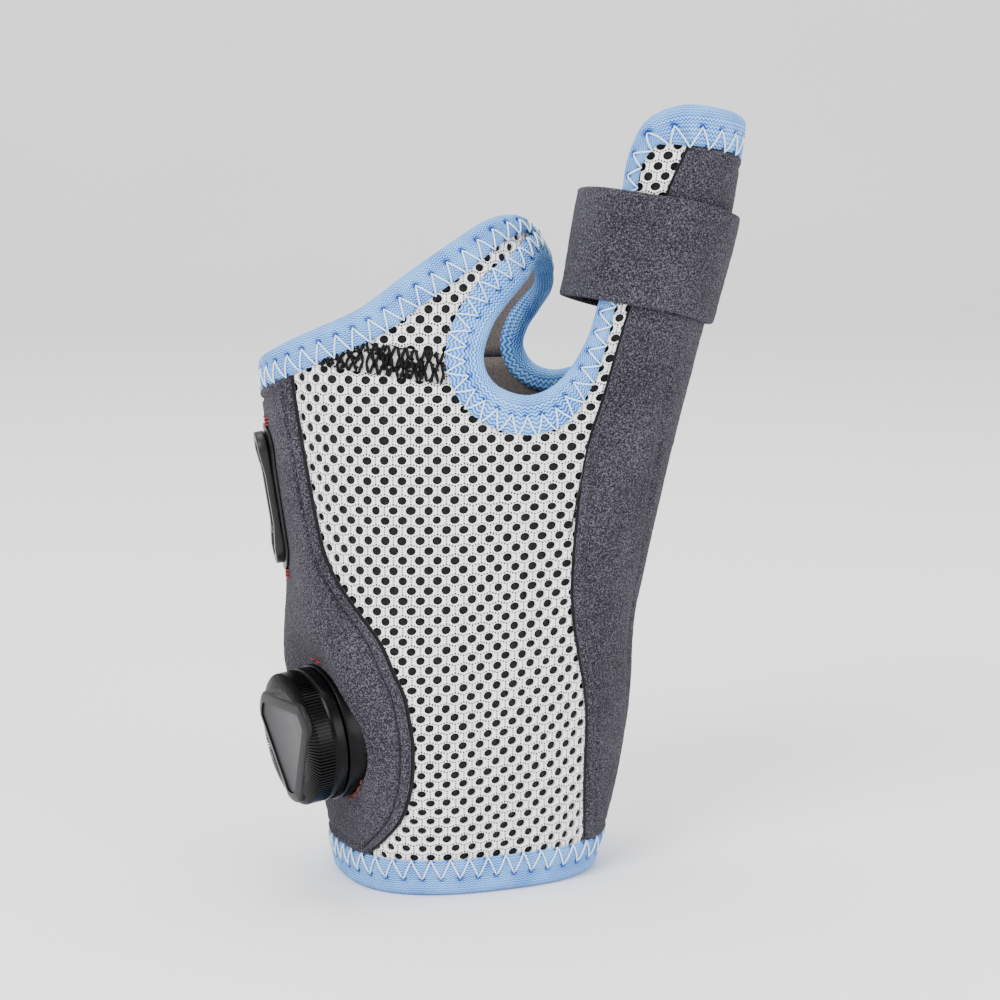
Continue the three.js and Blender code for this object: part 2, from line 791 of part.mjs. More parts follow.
// Three-cornered plate with a raised rim
function dialCap() {
  const low = knobHeight + layGap;
  const plate = solid(extruded(capOutline(capCorner), low, low + capThick));
  const floor = low + capThick - capRecess;
  const recess = solid(extruded(capOutline(capCorner - capRim), floor, floor + capThick));
  return geometryOf(plate.subtract(recess));
}

// Long oval frame on a thin plate, with two posts in its slot
function laceGuide() {
  const frame = slotOutline(guideLength, guideWidth, new THREE.Shape());
  const slot = slotOutline(guideLength - 2 * guideFrame, guideWidth - 2 * guideFrame, new THREE.Path());
  frame.holes.push(slot);
  const plate = slotOutline(guideLength, guideWidth, new THREE.Shape());
  let guide = solid(extruded(plate, 0, guidePlate)).add(solid(extruded(frame, guidePlate / 2, guideThick)));
  for (const sign of [-1, 1]) {
    const post = new THREE.Shape().absarc(0, (sign * guidePostSpacing) / 2, guidePost, 0, 2 * Math.PI);
    guide = guide.add(solid(extruded(post, guidePlate / 2, guideThick - guidePlate / 2)));
  }
  return geometryOf(guide);
}

// Materials and assembly
const knitWhite = [0xe2e3e6, 0.9, 0];
const bindingBlue = [0x7fb0ea, 0.85, 0];
const loopCharcoal = [0x4b4852, 0.95, 0];
const seamBlack = [0x1b1c1f, 0.9, 0];
const dialBlack = [0x17181a, 0.45, 0];
const capGrey = [0x55575a, 0.4, 0];

const brace = new THREE.Group();

function add(name, geometry, [color, roughness, metalness], frame = new THREE.Matrix4()) {
  const mesh = new THREE.Mesh(geometry, new THREE.MeshStandardMaterial({ color, roughness, metalness }));
  mesh.name = name;
  mesh.applyMatrix4(frame);
  brace.add(mesh);
}

add('front_mesh_panel', mainPanel(1), knitWhite);
add('back_mesh_panel', mainPanel(-1), knitWhite);
add('web_strip', webStrip(), knitWhite);
add('front_seam', seamTape(1), seamBlack);
add('back_seam', seamTape(-1), seamBlack);
add('finger_binding', bindingRing(fingerPath, bindingSection), bindingBlue);
add('thumb_binding', bindingRing(thumbPath, bindingSection), bindingBlue);
const straightSection = bindingSection.filter((row) => row.share !== 0.5);
add('wrist_binding', bindingRing(wristPath(wristSteps), straightSection), bindingBlue);
const fingerLeg = edgeOf(fingerPath, 'hand', legEdge);
add('ulnar_panel', endPanel('hand', ulnarReach, fingerLeg, ulnarColumns, ulnarRows), loopCharcoal);
const thumbLeg = edgeOf(thumbPath, 'thumb', legEdge);
add('thumb_panel', endPanel('thumb', thumbReach, thumbLeg, stallColumns, stallRows), loopCharcoal);
add('thumb_strap', thumbStrap(), loopCharcoal);
add('dial_base', dialBase(), dialBlack);
add('dial_knob', dialKnob(), dialBlack, dialFrame);
add('dial_cap', dialCap(), capGrey, dialFrame);

const guidePlace = wallFrame('hand', guideAround, guideUp);
const guideOrigin = guidePlace.point.clone().addScaledVector(guidePlace.normal, panelOuter + guideSeat);
add('lace_guide', laceGuide(), dialBlack, fittingFrame(guideOrigin, guidePlace.normal));

export default brace;
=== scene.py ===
import math

import bmesh
import bpy
import numpy as np
from mathutils import Matrix, Vector


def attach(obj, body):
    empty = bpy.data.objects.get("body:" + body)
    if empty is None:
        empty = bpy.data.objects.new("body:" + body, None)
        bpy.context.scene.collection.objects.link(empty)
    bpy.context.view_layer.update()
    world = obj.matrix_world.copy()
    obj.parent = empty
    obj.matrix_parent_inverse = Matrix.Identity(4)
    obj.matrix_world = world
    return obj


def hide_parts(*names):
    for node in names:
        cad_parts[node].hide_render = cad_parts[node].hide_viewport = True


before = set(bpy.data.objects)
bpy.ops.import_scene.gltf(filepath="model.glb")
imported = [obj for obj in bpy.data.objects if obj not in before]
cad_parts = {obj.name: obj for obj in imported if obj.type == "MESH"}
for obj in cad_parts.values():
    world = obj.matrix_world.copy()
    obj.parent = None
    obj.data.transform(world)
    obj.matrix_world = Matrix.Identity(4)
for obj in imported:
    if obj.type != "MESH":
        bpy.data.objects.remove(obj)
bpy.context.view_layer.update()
print("frame loaded:", len(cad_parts), "nodes")

mm = 0.001

# The wall of the brace as a chart: millimetres along the wall from its own end, and millimetres up
chart = {"standX": 1.2, "standY": 2.2, "splitStart": 119.0, "splitEnd": 136.0, "sides": 360,
         "thumbFrom": 50.0, "low": -6.0, "high": 194.0, "reach": 120.0, "step": 0.5, "notchNear": 78.5, "notchFar": 86.0,
         "shareLevel": 116.0, "fillet": 2.6, "filletSlope": 0.3, "filletFrom": 0.35, "filletBlend": 0.4}
press = {"x": -42.5, "y": -20.0, "up": 37.8, "axis": (-0.87, -0.48, -0.11), "depth": 1.3, "soft": 1.2,
         "inner": 16.0, "outer": 27.0, "start": 19.0}

# up, x, y, half, deep, turn, power
handRows = np.array([
    (0, -8.7, 0, 31.5, 25.5, 21, 2.5), (13, -7.9, 0, 33.4, 26.5, 23, 2.8),
    (30, -8.0, 0, 36.8, 28.0, 25, 3.0), (50, -10.0, 0, 41.4, 29.5, 21, 2.8),
    (75, -11.0, 0, 40.3, 29.0, 15, 2.5), (100, -15.6, 0, 39.1, 28.0, 10, 2.4),
    (125, -20.8, 0, 36.6, 26.0, 8, 2.3), (148, -22.5, 0, 34.5, 23.0, 6, 2.2),
    (165, -26.0, 0, 27.5, 19.0, 5, 2.2)])
thumbRows = np.array([
    (50, 8.0, 2.0, 22.0, 22.0, 0, 2.2), (75, 14.8, 0.0, 20.2, 21.0, 0, 2.2),
    (100, 21.6, -3.0, 18.5, 19.5, 0, 2.2), (125, 28.6, -7.0, 17.2, 18.0, 0, 2.2),
    (140, 32.6, -9.6, 16.7, 17.2, 0, 2.2), (155, 35.6, -12.0, 17.2, 17.2, 0, 2.2),
    (185, 40.2, -16.2, 16.7, 16.5, 0, 2.2)])

# thumb side (1) or hand (0), around, up, width of the binding
fingerFold = np.array([
    (0, 0, 124.5, 8), (0, 13.5, 127.6, 8), (0, 26, 132.5, 8), (0, 38, 138, 8), (0, 48, 146, 8),
    (0, 58, 154, 7.5), (0, 65, 158.3, 6.5), (0, 73, 159.3, 5.5), (0, 83, 157.6, 5), (0, -77, 152, 5.5),
    (0, -66, 144.5, 7), (0, -54, 137, 8), (0, -40, 129.5, 8), (0, -24, 124, 8), (0, -11, 122.6, 8)], float)
thumbFold = np.array([
    (0, 86.5, 148.4, 6), (0, 79, 143, 8), (0, 74.4, 138.5, 9), (0, 70.6, 133, 9), (0, 69, 127.5, 9),
    (0, 69.8, 123.6, 9), (0, 72.8, 120, 9), (0, 78.5, 118, 9), (1, 45.4, 119, 9), (1, 42.2, 122.6, 7),
    (1, 40.2, 128, 6), (1, 38.9, 137, 5.2), (1, 38.6, 150, 4.6), (1, 38.4, 164, 4.2),
    (1, 38, 172.5, 4.4), (1, 34.8, 180, 6.4), (1, 26.5, 183.6, 9), (1, 14, 182.6, 9), (1, 0, 180.5, 9),
    (1, -12, 178.3, 9), (1, -21, 175.6, 9), (1, -28, 170.6, 7.5), (1, -31, 162, 6),
    (1, -31.6, 148, 5.5), (1, -31.8, 136, 5.5), (1, -33, 128, 6), (1, -36.5, 123, 7.5),
    (0, -86, 120, 9), (0, -80.5, 121.5, 9), (0, -78.2, 125.5, 9), (0, -79.8, 130, 9),
    (0, -84, 134.4, 8), (0, -91, 140, 6)], float)

# up, near, far
ulnarReach = np.array([
    (9, 26, 17), (14, 33, 19), (19, 38.5, 21), (26, 43, 22), (33, 46, 23), (40, 48.5, 23),
    (49, 49.4, 23), (55, 47, 23), (62, 43, 23), (72, 33.5, 22), (77, 29.5, 22), (83, 27, 22),
    (97, 25.5, 22), (124, 22, 21)], float)
thumbReach = np.array([
    (9, 13, 12), (23, 17.5, 17), (42, 21.5, 20), (57, 26, 22), (72, 30, 24), (90, 32, 25),
    (105, 32.6, 25), (118, 31.2, 24), (135, 30, 21), (164, 26.6, 18), (175, 23, 16)], float)
seamLine = np.array([(0, 131.5, 119.5), (32, 128.3, 120.7), (62, 124.1, 122.5), (90, 121.2, 124)], float)


def smooth(value):
    x = np.clip(value, 0.0, 1.0)
    return x * x * (3 - 2 * x)


def readRows(rows, value):
    keys = rows[:, 0]
    at = np.clip(np.asarray(value, float), keys[0], keys[-1])
    i = np.clip(np.searchsorted(keys, at) - 1, 0, len(keys) - 2)
    last = len(keys) - 1
    before = np.maximum(np.arange(last + 1) - 1, 0)
    after = np.minimum(np.arange(last + 1) + 1, last)
    slopes = (rows[after] - rows[before]) / (keys[after] - keys[before])[:, None]
    span = (keys[i + 1] - keys[i])[..., None]
    x = (at - keys[i])[..., None] / span
    out = rows[i] * (1 + 2 * x) * (1 - x) ** 2 + slopes[i] * span * x * (1 - x) ** 2
    return out + rows[i + 1] * x * x * (3 - 2 * x) - slopes[i + 1] * span * x * x * (1 - x)


def ovalPoints(row, angle):
    turn = math.radians(row[5])
    dual = row[6] / (row[6] - 1)
    cos = np.cos(angle - turn)
    sin = np.sin(angle - turn)
    wide = np.abs(row[3] * cos)
    thin = np.abs(row[4] * sin)
    reach = (wide ** dual + thin ** dual) ** (1 / dual)
    x = np.sign(cos) * row[3] * (wide / reach) ** (dual - 1)
    y = np.sign(sin) * row[4] * (thin / reach) ** (dual - 1)
    c, s = math.cos(turn), math.sin(turn)
    return np.stack([c * x - s * y + row[1] + chart["standX"], s * x + c * y + row[2] + chart["standY"]], -1)


def buildChart():
    ups = np.arange(chart["low"], chart["high"] + 0.5)
    reach = np.arange(-chart["reach"], chart["reach"] + 0.1, chart["step"])
    angle = np.pi + np.linspace(0, 2 * np.pi, chart["sides"] + 1)
    way = np.stack([np.cos(angle), np.sin(angle)], -1)
    grids = np.zeros((2, len(ups), len(reach), 2))
    lengths = np.zeros((len(ups), 4))
    for k, up in enumerate(ups):
        hand = ovalPoints(readRows(handRows, up), angle)
        thumb = ovalPoints(readRows(thumbRows, up), angle)
        lead = np.sum(thumb * way, 1) - np.sum(hand * way, 1)
        both = np.where(((lead > 0) & (up > chart["thumbFrom"]))[:, None], thumb, hand)
        lead = lead - chart["filletSlope"] * max(chart["thumbFrom"] - up, 0)
        facing = smooth((way[:, 0] - chart["filletFrom"]) / chart["filletBlend"])
        fill = np.maximum(chart["fillet"] - np.abs(lead), 0) ** 2 / (4 * chart["fillet"]) * facing
        both = both + fill[:, None] * way  # softens the valley where the thumb leaves the wrist
        apart = smooth((up - chart["splitStart"]) / (chart["splitEnd"] - chart["splitStart"]))
        for branch, own in enumerate((hand, thumb)):
            for line, share in ((both, 1 - apart), (own, apart)):
                run = np.concatenate([[0], np.cumsum(np.linalg.norm(np.diff(line, axis=0), axis=1))])
                near = run[chart["sides"] // 2]
                at = np.mod(reach if branch == 0 else near - reach, run[-1])
                for axis in (0, 1):
                    grids[branch, k, :, axis] += share * np.interp(at, run, line[:, axis])
                if line is both:
                    lengths[k, :2] = near, run[-1]
                elif branch == 0:
                    lengths[k, 2:] = near, run[-1]
    return grids, ups, lengths


wallGrids, wallUps, wallLengths = buildChart()
pressAxis = np.array(press["axis"]) / np.linalg.norm(press["axis"])
dialCentre = np.array([press["x"] + chart["standX"], press["y"] + chart["standY"], press["up"]])
print("chart built:", wallGrids.shape)


def lengthsAt(up, column):
    return np.interp(up, wallUps, wallLengths[:, column])


def wallPoints(branch, around, up):
    spot = np.asarray(branch, int), np.asarray(around, float), np.asarray(up, float)
    branch, around, up = np.broadcast_arrays(*spot)
    a = np.clip((around + chart["reach"]) / chart["step"], 0, wallGrids.shape[2] - 1.001)
    u = np.clip(up - chart["low"], 0, len(wallUps) - 1.001)
    i, j = u.astype(int), a.astype(int)
    fu, fa = (u - i)[..., None], (a - j)[..., None]
    flat = (wallGrids[branch, i, j] * (1 - fu) * (1 - fa) + wallGrids[branch, i, j + 1] * (1 - fu) * fa
            + wallGrids[branch, i + 1, j] * fu * (1 - fa) + wallGrids[branch, i + 1, j + 1] * fu * fa)
    point = np.concatenate([flat, up[..., None]], -1)
    away = point - dialCentre
    height = away @ pressAxis
    aside = np.linalg.norm(away - height[..., None] * pressAxis, axis=-1)
    over = height + press["depth"]
    push = (over + np.hypot(over, press["soft"])) / 2
    share = 1 - smooth((aside - press["inner"]) / (press["outer"] - press["inner"]))
    return point - (push * share)[..., None] * pressAxis


def wallFrames(branch, around, up):
    step = 1.0
    point = wallPoints(branch, around, up)
    across = (wallPoints(branch, around + step, up) - wallPoints(branch, around - step, up)) / (2 * step)
    rise = (wallPoints(branch, around, up + step) - wallPoints(branch, around, up - step)) / (2 * step)
    normal = np.cross(across, rise)
    normal /= np.linalg.norm(normal, axis=-1, keepdims=True)
    normal = np.where((np.asarray(branch) == 1)[..., None], -normal, normal)
    return point, across, rise, normal


def lifted(branch, around, up, lift):
    branch, around, up, lift = np.broadcast_arrays(branch, around, up, lift)
    point, _, _, normal = wallFrames(branch, around, up)
    return point + normal * np.asarray(lift, float)[..., None]


def wallStep(across, rise, step):
    aa, ab, bb = np.sum(across * across, -1), np.sum(across * rise, -1), np.sum(rise * rise, -1)
    pa, pb = np.sum(across * step, -1), np.sum(rise * step, -1)
    det = aa * bb - ab * ab
    return (pa * bb - pb * ab) / det, (pb * aa - pa * ab) / det


def settle(branch, around, up, target):
    for _ in range(10):
        point, across, rise, _ = wallFrames(branch, around, up)
        da, du = wallStep(across, rise, target - point)
        around, up = around + da, up + du
    return around, up


def foldPath(rows, spacing):
    anchors = wallPoints(rows[:, 0].astype(int), rows[:, 1], rows[:, 2])
    count = len(rows)
    share = np.linspace(0, 1, 24, endpoint=False)[:, None]
    dense, marks = [], []
    for k in range(count):
        p0, p1, p2, p3 = (anchors[(k + d) % count] for d in (-1, 0, 1, 2))
        d0, d1, d2 = (math.sqrt(np.linalg.norm(b - a)) for a, b in ((p0, p1), (p1, p2), (p2, p3)))
        t1 = ((p1 - p0) / d0 - (p2 - p0) / (d0 + d1) + (p2 - p1) / d1) * d1
        t2 = ((p2 - p1) / d1 - (p3 - p1) / (d1 + d2) + (p3 - p2) / d2) * d1
        dense.append(p1 * (1 + 2 * share) * (1 - share) ** 2 + t1 * share * (1 - share) ** 2
                     + p2 * share ** 2 * (3 - 2 * share) - t2 * share ** 2 * (1 - share))
        marks.append(k + share[:, 0])
    dense, marks = np.concatenate(dense + [dense[0][:1]]), np.concatenate(marks + [[count]])
    run = np.concatenate([[0], np.cumsum(np.linalg.norm(np.diff(dense, axis=0), axis=1))])
    steps = 2 * int(run[-1] / spacing / 2)
    at = np.linspace(0, run[-1], steps, endpoint=False)
    mark = np.interp(at, run, marks)
    target = np.stack([np.interp(at, run, dense[:, k]) for k in range(3)], -1)
    row = rows[np.round(mark).astype(int) % count]
    branch = row[:, 0].astype(int)
    around, up = settle(branch, row[:, 1].copy(), row[:, 2].copy(), target)
    before, after = (rows[side(mark).astype(int) % count] for side in (np.floor, np.ceil))
    width = before[:, 3] + (after[:, 3] - before[:, 3]) * (mark - np.floor(mark))
    point, across, rise, normal = wallFrames(branch, around, up)
    tangent = np.roll(point, -1, 0) - np.roll(point, 1, 0)
    inward = np.cross(tangent, normal)
    inward /= np.linalg.norm(inward, axis=-1, keepdims=True)
    inA, inU = wallStep(across, rise, inward)
    return {"branch": branch, "around": around, "up": up, "width": width,
            "inA": inA, "inU": inU, "run": at, "level": False}


def wristPath(spacing, width):
    whole = lengthsAt(0.0, 3)
    steps = 2 * int(whole / spacing / 2)
    run = np.arange(steps) * whole / steps
    around = np.where(np.arange(steps) < steps / 2, run, run - whole)
    widening = (lengthsAt(width, 3) / whole - 1) / width
    return {"branch": np.zeros(steps, int), "around": around, "up": np.zeros(steps),
            "width": np.full(steps, width), "inA": around * widening, "inU": np.ones(steps), "run": run, "level": True}


def pathAt(path, index):
    return {key: (value[index] if isinstance(value, np.ndarray) else value) for key, value in path.items()}


def inset(path, depth):
    return path["branch"], path["around"] + path["inA"] * depth, path["up"] + path["inU"] * depth


def lattice(key):
    value = (key[..., 0] * 73856093) ^ (key[..., 1] * 19349663) ^ (key[..., 2] * 83492791)
    value = (value ^ (value >> 13)) * 1274126177 & 0x7FFFFFFF
    return (value ^ (value >> 16)) % 65536 / 65536


def grain(points, size, seed=0):
    at = points / size + seed * 17.31
    low = np.floor(at).astype(np.int64)
    f = smooth(at - low)
    total = 0
    for corner in np.ndindex(2, 2, 2):
        weight = np.prod([f[..., k] if corner[k] else 1 - f[..., k] for k in range(3)], axis=0)
        total = total + weight * lattice(low + np.array(corner))
    return total * 2 - 1


def pileFuzz(points, seed):
    return grain(points, 1.3, seed) * 0.6 + grain(points, 2.6, seed + 1) * 0.4


# Meshes and materials

def makePiece(name, points, faces, material, uv=None, body="sleeve", isSmooth=True):
    mesh = bpy.data.meshes.new(name)
    mesh.from_pydata((np.asarray(points) * mm).tolist(), [], faces)
    mesh.update()
    if uv is not None:
        layer = mesh.uv_layers.new(name="UVMap")
        values = np.asarray(uv, float)
        if len(values) == len(mesh.vertices):
            corner = np.zeros(len(mesh.loops), np.int32)
            mesh.loops.foreach_get("vertex_index", corner)
            values = values[corner]
        layer.data.foreach_set("uv", values.astype(np.float32).ravel())
    mesh.polygons.foreach_set("use_smooth", np.full(len(mesh.polygons), isSmooth))
    mesh.materials.append(material)
    obj = bpy.data.objects.new(name, mesh)
    bpy.context.scene.collection.objects.link(obj)
    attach(obj, body)
    return obj


def isInsideOut(points, faces):
    corners = points[faces] - points.mean(0)
    return np.sum(corners[:, 0] * np.cross(corners[:, 1], corners[:, 2])) < 0


def outward(points, faces):
    if isInsideOut(points, np.array([f[:3] for f in faces])):
        return [tuple(reversed(f)) for f in faces]
    return faces


def outwardQuads(points, quads, uv):
    if isInsideOut(points, quads):
        return quads[:, ::-1], uv.reshape(-1, 4, 2)[:, ::-1].reshape(-1, 2)
    return quads, uv


def ringPiece(name, sections, material, uvScale, runs, depths):
    count, size = sections.shape[:2]
    i, k = np.meshgrid(np.arange(count), np.arange(size), indexing="ij")
    nextI, nextK = (i + 1) % count, (k + 1) % size
    faces = np.stack([i * size + k, i * size + nextK, nextI * size + nextK, nextI * size + k], -1)
    u = np.append(runs, runs[-1] + runs[1] - runs[0])
    v = np.append(depths, depths[-1] + 0.5)
    corners = [np.stack([u[i + di], v[k + dk]], -1) for di, dk in ((0, 0), (0, 1), (1, 1), (1, 0))]
    points = sections.reshape(-1, 3)
    faces, uv = outwardQuads(points, faces.reshape(-1, 4), np.stack(corners, 2).reshape(-1, 2))
    return makePiece(name, points, faces.tolist(), material, uv * uvScale)


def patchPiece(name, branch, around, up, outer, inner, material):
    branch, around, up, outer, inner = np.broadcast_arrays(branch, around, up, outer, inner)
    rows, columns = around.shape
    key = np.stack([branch, np.round(around, 4), np.round(up, 4)], -1).reshape(-1, 3)
    _, first, ids = np.unique(key, axis=0, return_index=True, return_inverse=True)
    ids = ids.reshape(rows, columns)
    quads = np.stack([ids[:-1, :-1], ids[:-1, 1:], ids[1:, 1:], ids[1:, :-1]], -1).reshape(-1, 4)
    faces = []
    for q in quads.tolist():
        ring = [v for k, v in enumerate(q) if v != q[k - 1]]
        if len(set(ring)) == len(ring) and len(ring) > 2:
            faces.append(tuple(ring))
    edges = {(f[k - 1], f[k]) for f in faces for k in range(len(f))}
    pick = lambda values: values.reshape(-1)[first]
    count = len(first)
    spot = pick(branch), pick(around), pick(up)
    points = np.concatenate([lifted(*spot, pick(lift)) for lift in (outer, inner)])
    solid = list(faces) + [tuple(v + count for v in reversed(f)) for f in faces]
    solid += [(b, a, a + count, b + count) for a, b in edges if (b, a) not in edges]
    uv = np.stack([pick(around), pick(up)], -1) / 10
    return makePiece(name, points, outward(points, solid), material, np.concatenate([uv, uv]))


def threadPieces(name, centres, normals, radius, sides, material, taper=0.55):
    count, rings = centres.shape[:2]
    tangent = np.gradient(centres, axis=1)
    tangent /= np.linalg.norm(tangent, axis=-1, keepdims=True)
    side = np.cross(tangent, normals)
    side /= np.linalg.norm(side, axis=-1, keepdims=True)
    top = np.cross(side, tangent)
    angle = np.linspace(0, 2 * np.pi, sides, endpoint=False)
    size = np.full(rings, radius)
    size[[0, -1]] *= taper
    wheel = side[:, :, None] * np.cos(angle)[:, None] + top[:, :, None] * np.sin(angle)[:, None]
    points = centres[:, :, None] + wheel * size[:, None, None]
    i, k = np.meshgrid(np.arange(rings - 1), np.arange(sides), indexing="ij")
    after = (k + 1) % sides
    one = np.stack([i * sides + k, i * sides + after, (i + 1) * sides + after, (i + 1) * sides + k], -1)
    one = one.reshape(-1, 4)
    faces = []
    perPiece = rings * sides
    caps = [list(range(sides))[::-1], list(range((rings - 1) * sides, rings * sides))]
    for n in range(count):
        faces += (one + n * perPiece).tolist()
        faces += [[v + n * perPiece for v in cap] for cap in caps]
    if isInsideOut(points[0].reshape(-1, 3), one):
        faces = [f[::-1] for f in faces]
    turn = np.tile(angle / (2 * np.pi), count * rings)
    along = np.tile(np.repeat(np.arange(rings) / (rings - 1), sides), count)
    return makePiece(name, points.reshape(-1, 3), faces, material, np.stack([along, turn], -1))


def newGroup(name, inputs, outputs):
    tree = bpy.data.node_groups.new(name, "ShaderNodeTree")
    for label, kind in inputs:
        tree.interface.new_socket(name=label, in_out="INPUT", socket_type=kind)
    for label, kind in outputs:
        tree.interface.new_socket(name=label, in_out="OUTPUT", socket_type=kind)
    return tree, tree.nodes.new("NodeGroupInput"), tree.nodes.new("NodeGroupOutput")


def mathNode(tree, operation, first, second=None, third=None):
    made = tree.nodes.new("ShaderNodeMath")
    made.operation = operation
    for slot, value in enumerate((first, second, third)):
        if value is None:
            continue
        if isinstance(value, (int, float)):
            made.inputs[slot].default_value = value
        else:
            tree.links.new(value, made.inputs[slot])
    return made.outputs[0]


def rampNode(tree, value, stops):
    made = tree.nodes.new("ShaderNodeValToRGB")
    for element, (at, colour) in zip(list(made.color_ramp.elements), (stops[0], stops[-1])):
        element.position = at
        element.color = (*colour, 1)
    for at, colour in stops[1:-1]:
        element = made.color_ramp.elements.new(at)
        element.color = (*colour, 1)
    tree.links.new(value, made.inputs["Fac"])
    return made.outputs["Color"]


def noiseNode(tree, vector, scale, detail=2.0, roughness=0.5):
    made = tree.nodes.new("ShaderNodeTexNoise")
    made.inputs["Scale"].default_value = scale
    made.inputs["Detail"].default_value = detail
    made.inputs["Roughness"].default_value = roughness
    tree.links.new(vector, made.inputs["Vector"])
    return made.outputs["Fac"]


def bumpNode(tree, height, strength, distance):
    made = tree.nodes.new("ShaderNodeBump")
    made.inputs["Strength"].default_value = strength
    made.inputs["Distance"].default_value = distance
    tree.links.new(height, made.inputs["Height"])
    return made.outputs["Normal"]


def newMaterial(name, settings):
    material = bpy.data.materials.new(name)
    material.use_nodes = True
    tree = material.node_tree
    shader = tree.nodes["Principled BSDF"]
    for label, value in settings.items():
        shader.inputs[label].default_value = value
    coords = tree.nodes.new("ShaderNodeTexCoord")
    return material, tree, shader, coords


def useGroup(tree, group, **links):
    made = tree.nodes.new("ShaderNodeGroup")
    made.node_tree = group
    for label, value in links.items():
        if isinstance(value, (int, float)):
            made.inputs[label].default_value = value
        else:
            tree.links.new(value, made.inputs[label])
    return made.outputs


def paint(tree, shader, tone, stops, height, strength, distance):
    tree.links.new(rampNode(tree, tone, stops), shader.inputs["Base Color"])
    tree.links.new(bumpNode(tree, height, strength, distance), shader.inputs["Normal"])


def splitUv(tree, vector):
    made = tree.nodes.new("ShaderNodeSeparateXYZ")
    tree.links.new(vector, made.inputs[0])
    return made.outputs["X"], made.outputs["Y"]


def pileGroup():
    outs = [(label, "NodeSocketFloat") for label in ("Fleck", "Height", "Patch")]
    tree, source, target = newGroup("pile", [("Vector", "NodeSocketVector")], outs)
    fine = noiseNode(tree, source.outputs["Vector"], 4200.0, 2.0, 0.65)
    loops = noiseNode(tree, source.outputs["Vector"], 2500.0, 2.0, 0.65)
    broad = noiseNode(tree, source.outputs["Vector"], 60.0, 2.0, 0.5)
    both = mathNode(tree, "MULTIPLY_ADD", fine, 0.5, mathNode(tree, "MULTIPLY", loops, 0.5))
    tree.links.new(both, target.inputs["Fleck"])
    tree.links.new(both, target.inputs["Height"])
    tree.links.new(broad, target.inputs["Patch"])
    return tree


def twillGroup():
    outs = [(label, "NodeSocketFloat") for label in ("Height", "Shade")]
    tree, source, target = newGroup("twill", [("UV", "NodeSocketVector")], outs)
    u, v = splitUv(tree, source.outputs["UV"])
    along = mathNode(tree, "PINGPONG", mathNode(tree, "MULTIPLY", u, 10 / 0.52), 1.0)  # 0.52 mm a rib
    across = mathNode(tree, "MULTIPLY", v, 10 / 0.64)
    wave = mathNode(tree, "MULTIPLY_ADD", along, 0.62, across)
    height = mathNode(tree, "PINGPONG", wave, 0.5)
    twice = mathNode(tree, "MULTIPLY", height, 2.0)
    tree.links.new(twice, target.inputs["Height"])
    uneven = noiseNode(tree, source.outputs["UV"], 1.2, 2.0)
    shade = mathNode(tree, "MULTIPLY_ADD", uneven, 0.5, mathNode(tree, "MULTIPLY", twice, 0.6))
    tree.links.new(shade, target.inputs["Shade"])
    return tree


def plasticGroup():
    outs = [(label, "NodeSocketFloat") for label in ("Height", "Wear")]
    tree, source, target = newGroup("mouldedGrain", [("Vector", "NodeSocketVector")], outs)
    fine = noiseNode(tree, source.outputs["Vector"], 3800.0, 2.0)
    broad = noiseNode(tree, source.outputs["Vector"], 180.0, 3.0, 0.6)
    tree.links.new(fine, target.inputs["Height"])
    tree.links.new(broad, target.inputs["Wear"])
    return tree


pile, twill, mouldedGrain = pileGroup(), twillGroup(), plasticGroup()


def plushMaterial(name, dark, mid, light):
    settings = {"Roughness": 0.95, "Sheen Weight": 0.06, "Sheen Roughness": 0.5, "Specular IOR Level": 0.08}
    material, tree, shader, coords = newMaterial(name, settings)
    outs = useGroup(tree, pile, Vector=coords.outputs["Object"])
    tone = mathNode(tree, "MULTIPLY_ADD", outs["Patch"], 0.08, mathNode(tree, "SUBTRACT", outs["Fleck"], 0.04))
    paint(tree, shader, tone, [(0.4, dark), (0.5, mid), (0.6, light)], outs["Height"], 0.9, 0.0006)
    return material


def twillMaterial(name, deep, mid, light):
    settings = {"Roughness": 0.85, "Sheen Weight": 0.08, "Specular IOR Level": 0.12}
    material, tree, shader, coords = newMaterial(name, settings)
    outs = useGroup(tree, twill, UV=coords.outputs["UV"])
    # painted shade: the binding's per-vertex attribute darkens the twill blue around the zigzag's needle points
    dentAndShade = tree.nodes.new("ShaderNodeAttribute")
    dentAndShade.attribute_name = "dentAndShade"
    tone = mathNode(tree, "SUBTRACT", outs["Shade"], dentAndShade.outputs["Fac"])
    paint(tree, shader, tone, [(0.24, deep), (0.48, mid), (0.78, light)], outs["Height"], 0.8, 0.00025)
    return material


def threadMaterial(name, dark, light):
    material, tree, shader, coords = newMaterial(name, {"Roughness": 0.7, "Specular IOR Level": 0.12})
    u, v = splitUv(tree, coords.outputs["UV"])
    ply = mathNode(tree, "MULTIPLY_ADD", u, 5.0, mathNode(tree, "MULTIPLY", v, 2.0))
    twist = mathNode(tree, "PINGPONG", ply, 0.5)
    paint(tree, shader, twist, [(0.0, dark), (0.5, light)], twist, 0.5, 0.0002)
    return material


def knitMaterial(name, dot, mid, light):
    settings = {"Roughness": 0.9, "Sheen Weight": 0.2, "Specular IOR Level": 0.2}
    material, tree, shader, coords = newMaterial(name, settings)
    u, v = splitUv(tree, coords.outputs["UV"])
    dots = mathNode(tree, "MULTIPLY", mathNode(tree, "PINGPONG", u, 0.5), 2.0)
    near = mathNode(tree, "SUBTRACT", dots, mathNode(tree, "MULTIPLY", v, 2.0))
    spot = mathNode(tree, "MAXIMUM", mathNode(tree, "MULTIPLY_ADD", near, 3.2, -0.6), 0.0)
    fibre = noiseNode(tree, coords.outputs["Object"], 2200.0, 2.0, 0.6)
    tone = mathNode(tree, "SUBTRACT", mathNode(tree, "MULTIPLY_ADD", fibre, 0.7, 0.4), spot)
    paint(tree, shader, tone, [(0.1, dot), (0.45, mid), (0.66, light)], tone, 0.5, 0.0003)
    return material


